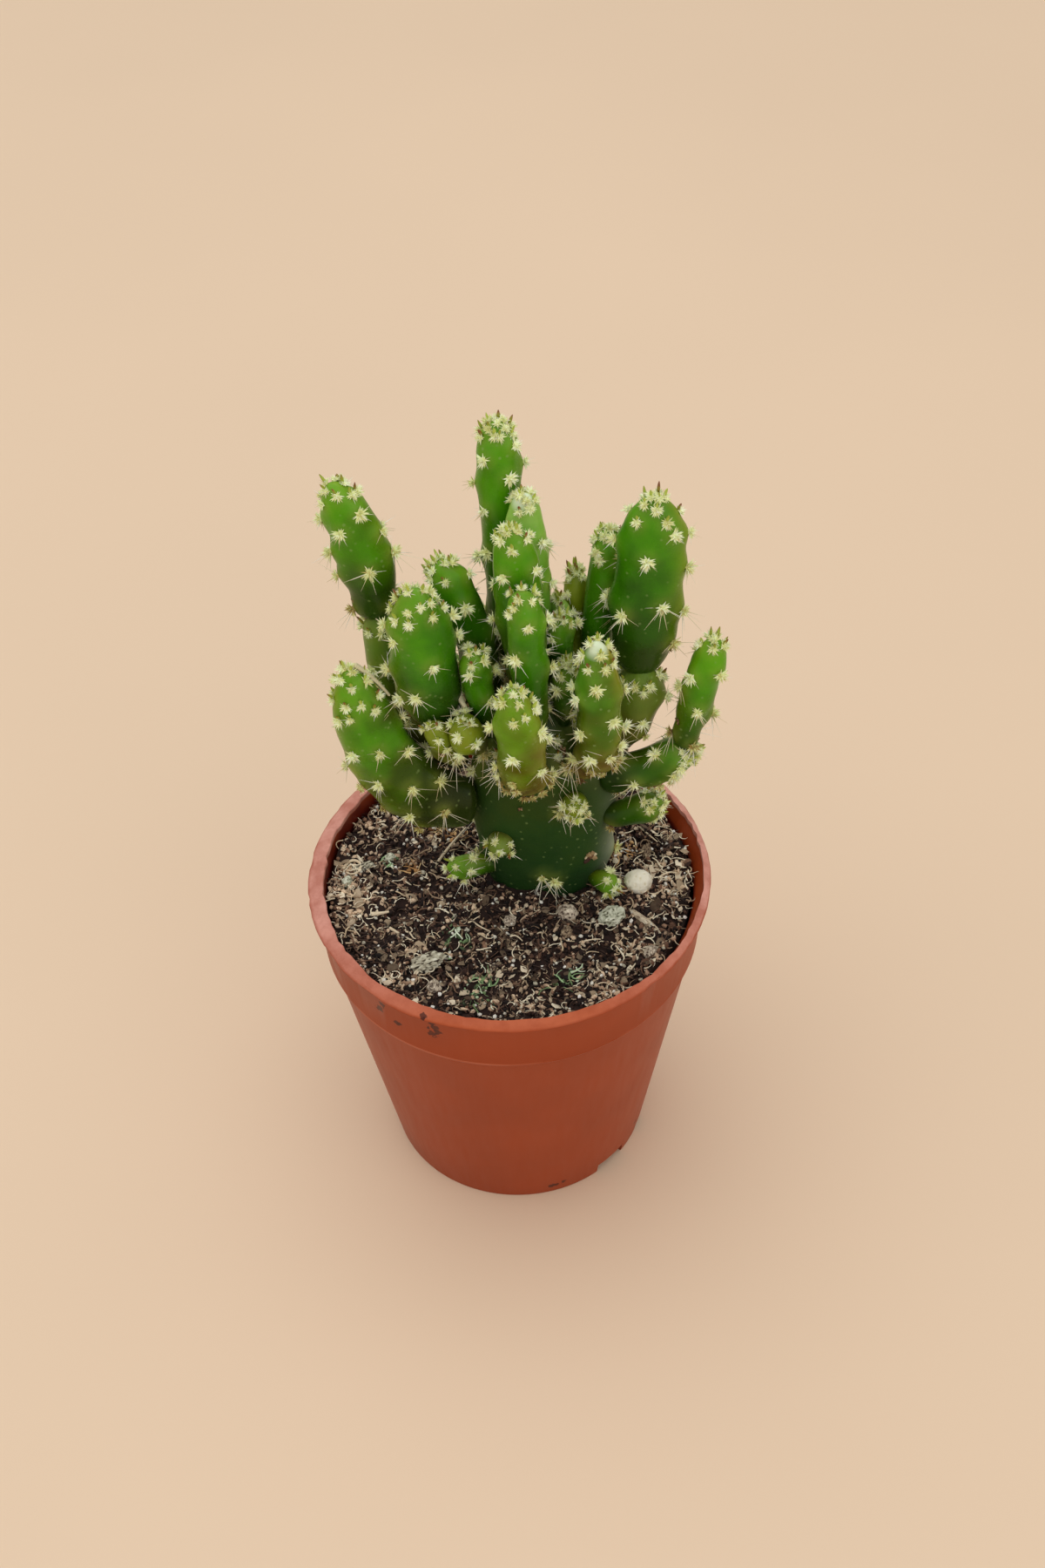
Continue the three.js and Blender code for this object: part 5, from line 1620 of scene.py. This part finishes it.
# Loose bits on the soil: the name, the place and sizes in millimetres, the turn in degrees, the roughness of
# the form and the kind
LOOSE_BITS = [
    ("pebble_round", 17.5, -0.9, (4.1, 3.8, 3.5), 20, 0.06, "pebble"),
    ("grit_flat", 13.6, -6.7, (4.6, 3.4, 2.5), 35, 0.3, "pumice"),
    ("grit_round", 7.6, -6, (3.3, 2.9, 2.4), 0, 0.2, "stone"),
    ("grit_brown", 7.4, -9.4, (2.2, 1.7, 1.6), 60, 0.25, "bark"),
    ("grit_left", -0.1, -6.1, (2.1, 1.9, 1.7), 0, 0.25, "stone"),
    ("grit_right", 18.4, -13.4, (2.6, 2, 1.8), 50, 0.25, "stone"),
    ("grit_front", -10.3, -17.4, (2.7, 2.1, 2), 100, 0.25, "stone"),
    ("grit_green", -16.5, 6.3, (1.7, 1.5, 1.4), 0, 0.2, "pumice"),
    ("stone_rim", -22.3, 1.4, (2, 1.6, 1.6), 70, 0.2, "pumice"),
    ("bark_long", -11.3, -12.9, (6.0, 3.0, 2.1), 25, 0.3, "flake"),
    ("bark_left", -20.4, 4.6, (4.2, 1.6, 1.5), 30, 0.3, "flake"),
    ("bark_right", 19.2, 6.2, (3.4, 1.7, 1.5), 80, 0.3, "bark"),
    ("twig", 18, -7.6, (7, 1.1, 1.1), -50, 0.1, "twig"),
]
BIT_SLOTS = {"pebble": "pebble", "pumice": "grit", "stone": "grit", "bark": "bark", "flake": "bark",
             "twig": "bark"}
BIT_RISE = 0.2
# A bit's surface on a ball of unit radius: how often its facets, grain and pits repeat, the depth at which
# pits begin, how much each takes off the form by its roughness, and how much each changes the tone
FACET_RATE = 2.2
GRAIN_RATE = 7
PIT_RATE = 4.5
PIT_START = 0.12
PATCH_RATE = 1.7
SMOOTH_PATCH_RATE = 1.6
BIT_WEAR = {"even": 0.45, "facet": 0.9, "grain": 0.45, "pit": 1.6}
BIT_TONES = {"base": 0.62, "patch": 0.2, "facet": 0.3, "grain": 0.4, "pit": 2.2}
CALM_PEBBLE = 0.3
ROUGH_BIT = 0.15
FIBROUS = ("bark", "flake", "twig")
FIBRE_RATES = Vector((1.5, 9, 9))
FIBRE_DEPTH = 0.14


class CACTUS_OT_bits(bpy.types.Operator):
    """Round pebble, pumice grit, bark and a twig lying on the soil"""
    bl_idname = "cactus.bits"
    bl_label = "Loose bits"

    def execute(self, context):
        materials = {kind: tone_material(kind) for kind in BIT_SLOTS}
        for name, x, y, size, turn, rough, kind in LOOSE_BITS:
            bm = bmesh.new()
            bmesh.ops.create_icosphere(bm, subdivisions=5, radius=1)
            seed = Vector((x, y, len(name)))
            half = Matrix.Diagonal(Vector(size) / 2 * MM)
            centre = Vector((x * MM, y * MM, soil_top(x * MM, y * MM) + size[2] * MM * BIT_RISE))
            spin = Matrix.Rotation(math.radians(turn), 3, "Z")
            calm = CALM_PEBBLE if kind == "pebble" else 1.0
            tones = []
            for vert in bm.verts:
                way = vert.co.copy()
                patch = (noise.cell(way * PATCH_RATE + seed) - 0.5 if rough > ROUGH_BIT
                         else noise.noise(way * SMOOTH_PATCH_RATE + seed))
                facet = noise.noise(way * FACET_RATE + seed)
                grain = noise.noise(way * GRAIN_RATE + seed)
                pit = max(0.0, noise.noise(way * PIT_RATE - seed) - PIT_START)
                shrink = 1 - rough * (BIT_WEAR["even"] - BIT_WEAR["facet"] * facet
                                      + BIT_WEAR["grain"] * abs(grain) + BIT_WEAR["pit"] * pit)
                if kind in FIBROUS:
                    shrink -= FIBRE_DEPTH * abs(noise.noise(way * FIBRE_RATES + seed))
                vert.co = spin @ (half @ way * min(shrink, 1)) + centre
                tones.append(BIT_TONES["base"] + calm * (
                    BIT_TONES["patch"] * patch + BIT_TONES["facet"] * facet + BIT_TONES["grain"] * grain
                    - BIT_TONES["pit"] * pit))
            finish_mesh(f"bit_{name}", bm, [materials[kind]], BIT_SLOTS[kind], [name],
                        attributes={"tone": tones})
        return {"FINISHED"}


class CACTUS_PT_panel(bpy.types.Panel):
    """Lists the steps that build the potted cactus"""
    bl_idname = "CACTUS_PT_panel"
    bl_label = "Potted cactus"
    bl_space_type = "VIEW_3D"
    bl_region_type = "UI"
    bl_category = "Cactus"

    def draw(self, context):
        for operator in OPERATORS:
            self.layout.operator(operator.bl_idname)
        for group in SETTINGS:
            settings = getattr(context.scene, group)
            for name in settings.bl_rna.properties.keys():
                if name not in ("name", "rna_type"):
                    self.layout.prop(settings, name)


OPERATORS = (CACTUS_OT_stage, CACTUS_OT_pot, CACTUS_OT_soil, CACTUS_OT_bits, CACTUS_OT_flesh, CACTUS_OT_wool,
             CACTUS_OT_leaves, CACTUS_OT_scraps, CACTUS_OT_spines)
SETTINGS = {
    "cactus_stage": StageSettings,
    "cactus_pot": PotSettings,
    "cactus_soil": SoilSettings,
    "cactus_plant": PlantSettings,
}


def register():
    for group in (*SETTINGS.values(), *OPERATORS, CACTUS_PT_panel):
        bpy.utils.register_class(group)
    for name, group in SETTINGS.items():
        setattr(bpy.types.Scene, name, bpy.props.PointerProperty(type=group))


def unregister():
    for name in SETTINGS:
        delattr(bpy.types.Scene, name)
    for group in reversed((*SETTINGS.values(), *OPERATORS, CACTUS_PT_panel)):
        bpy.utils.unregister_class(group)


def main():
    register()
    for operator in OPERATORS:
        group, name = operator.bl_idname.split(".")
        getattr(getattr(bpy.ops, group), name)()


if __name__ == "__main__":
    main()
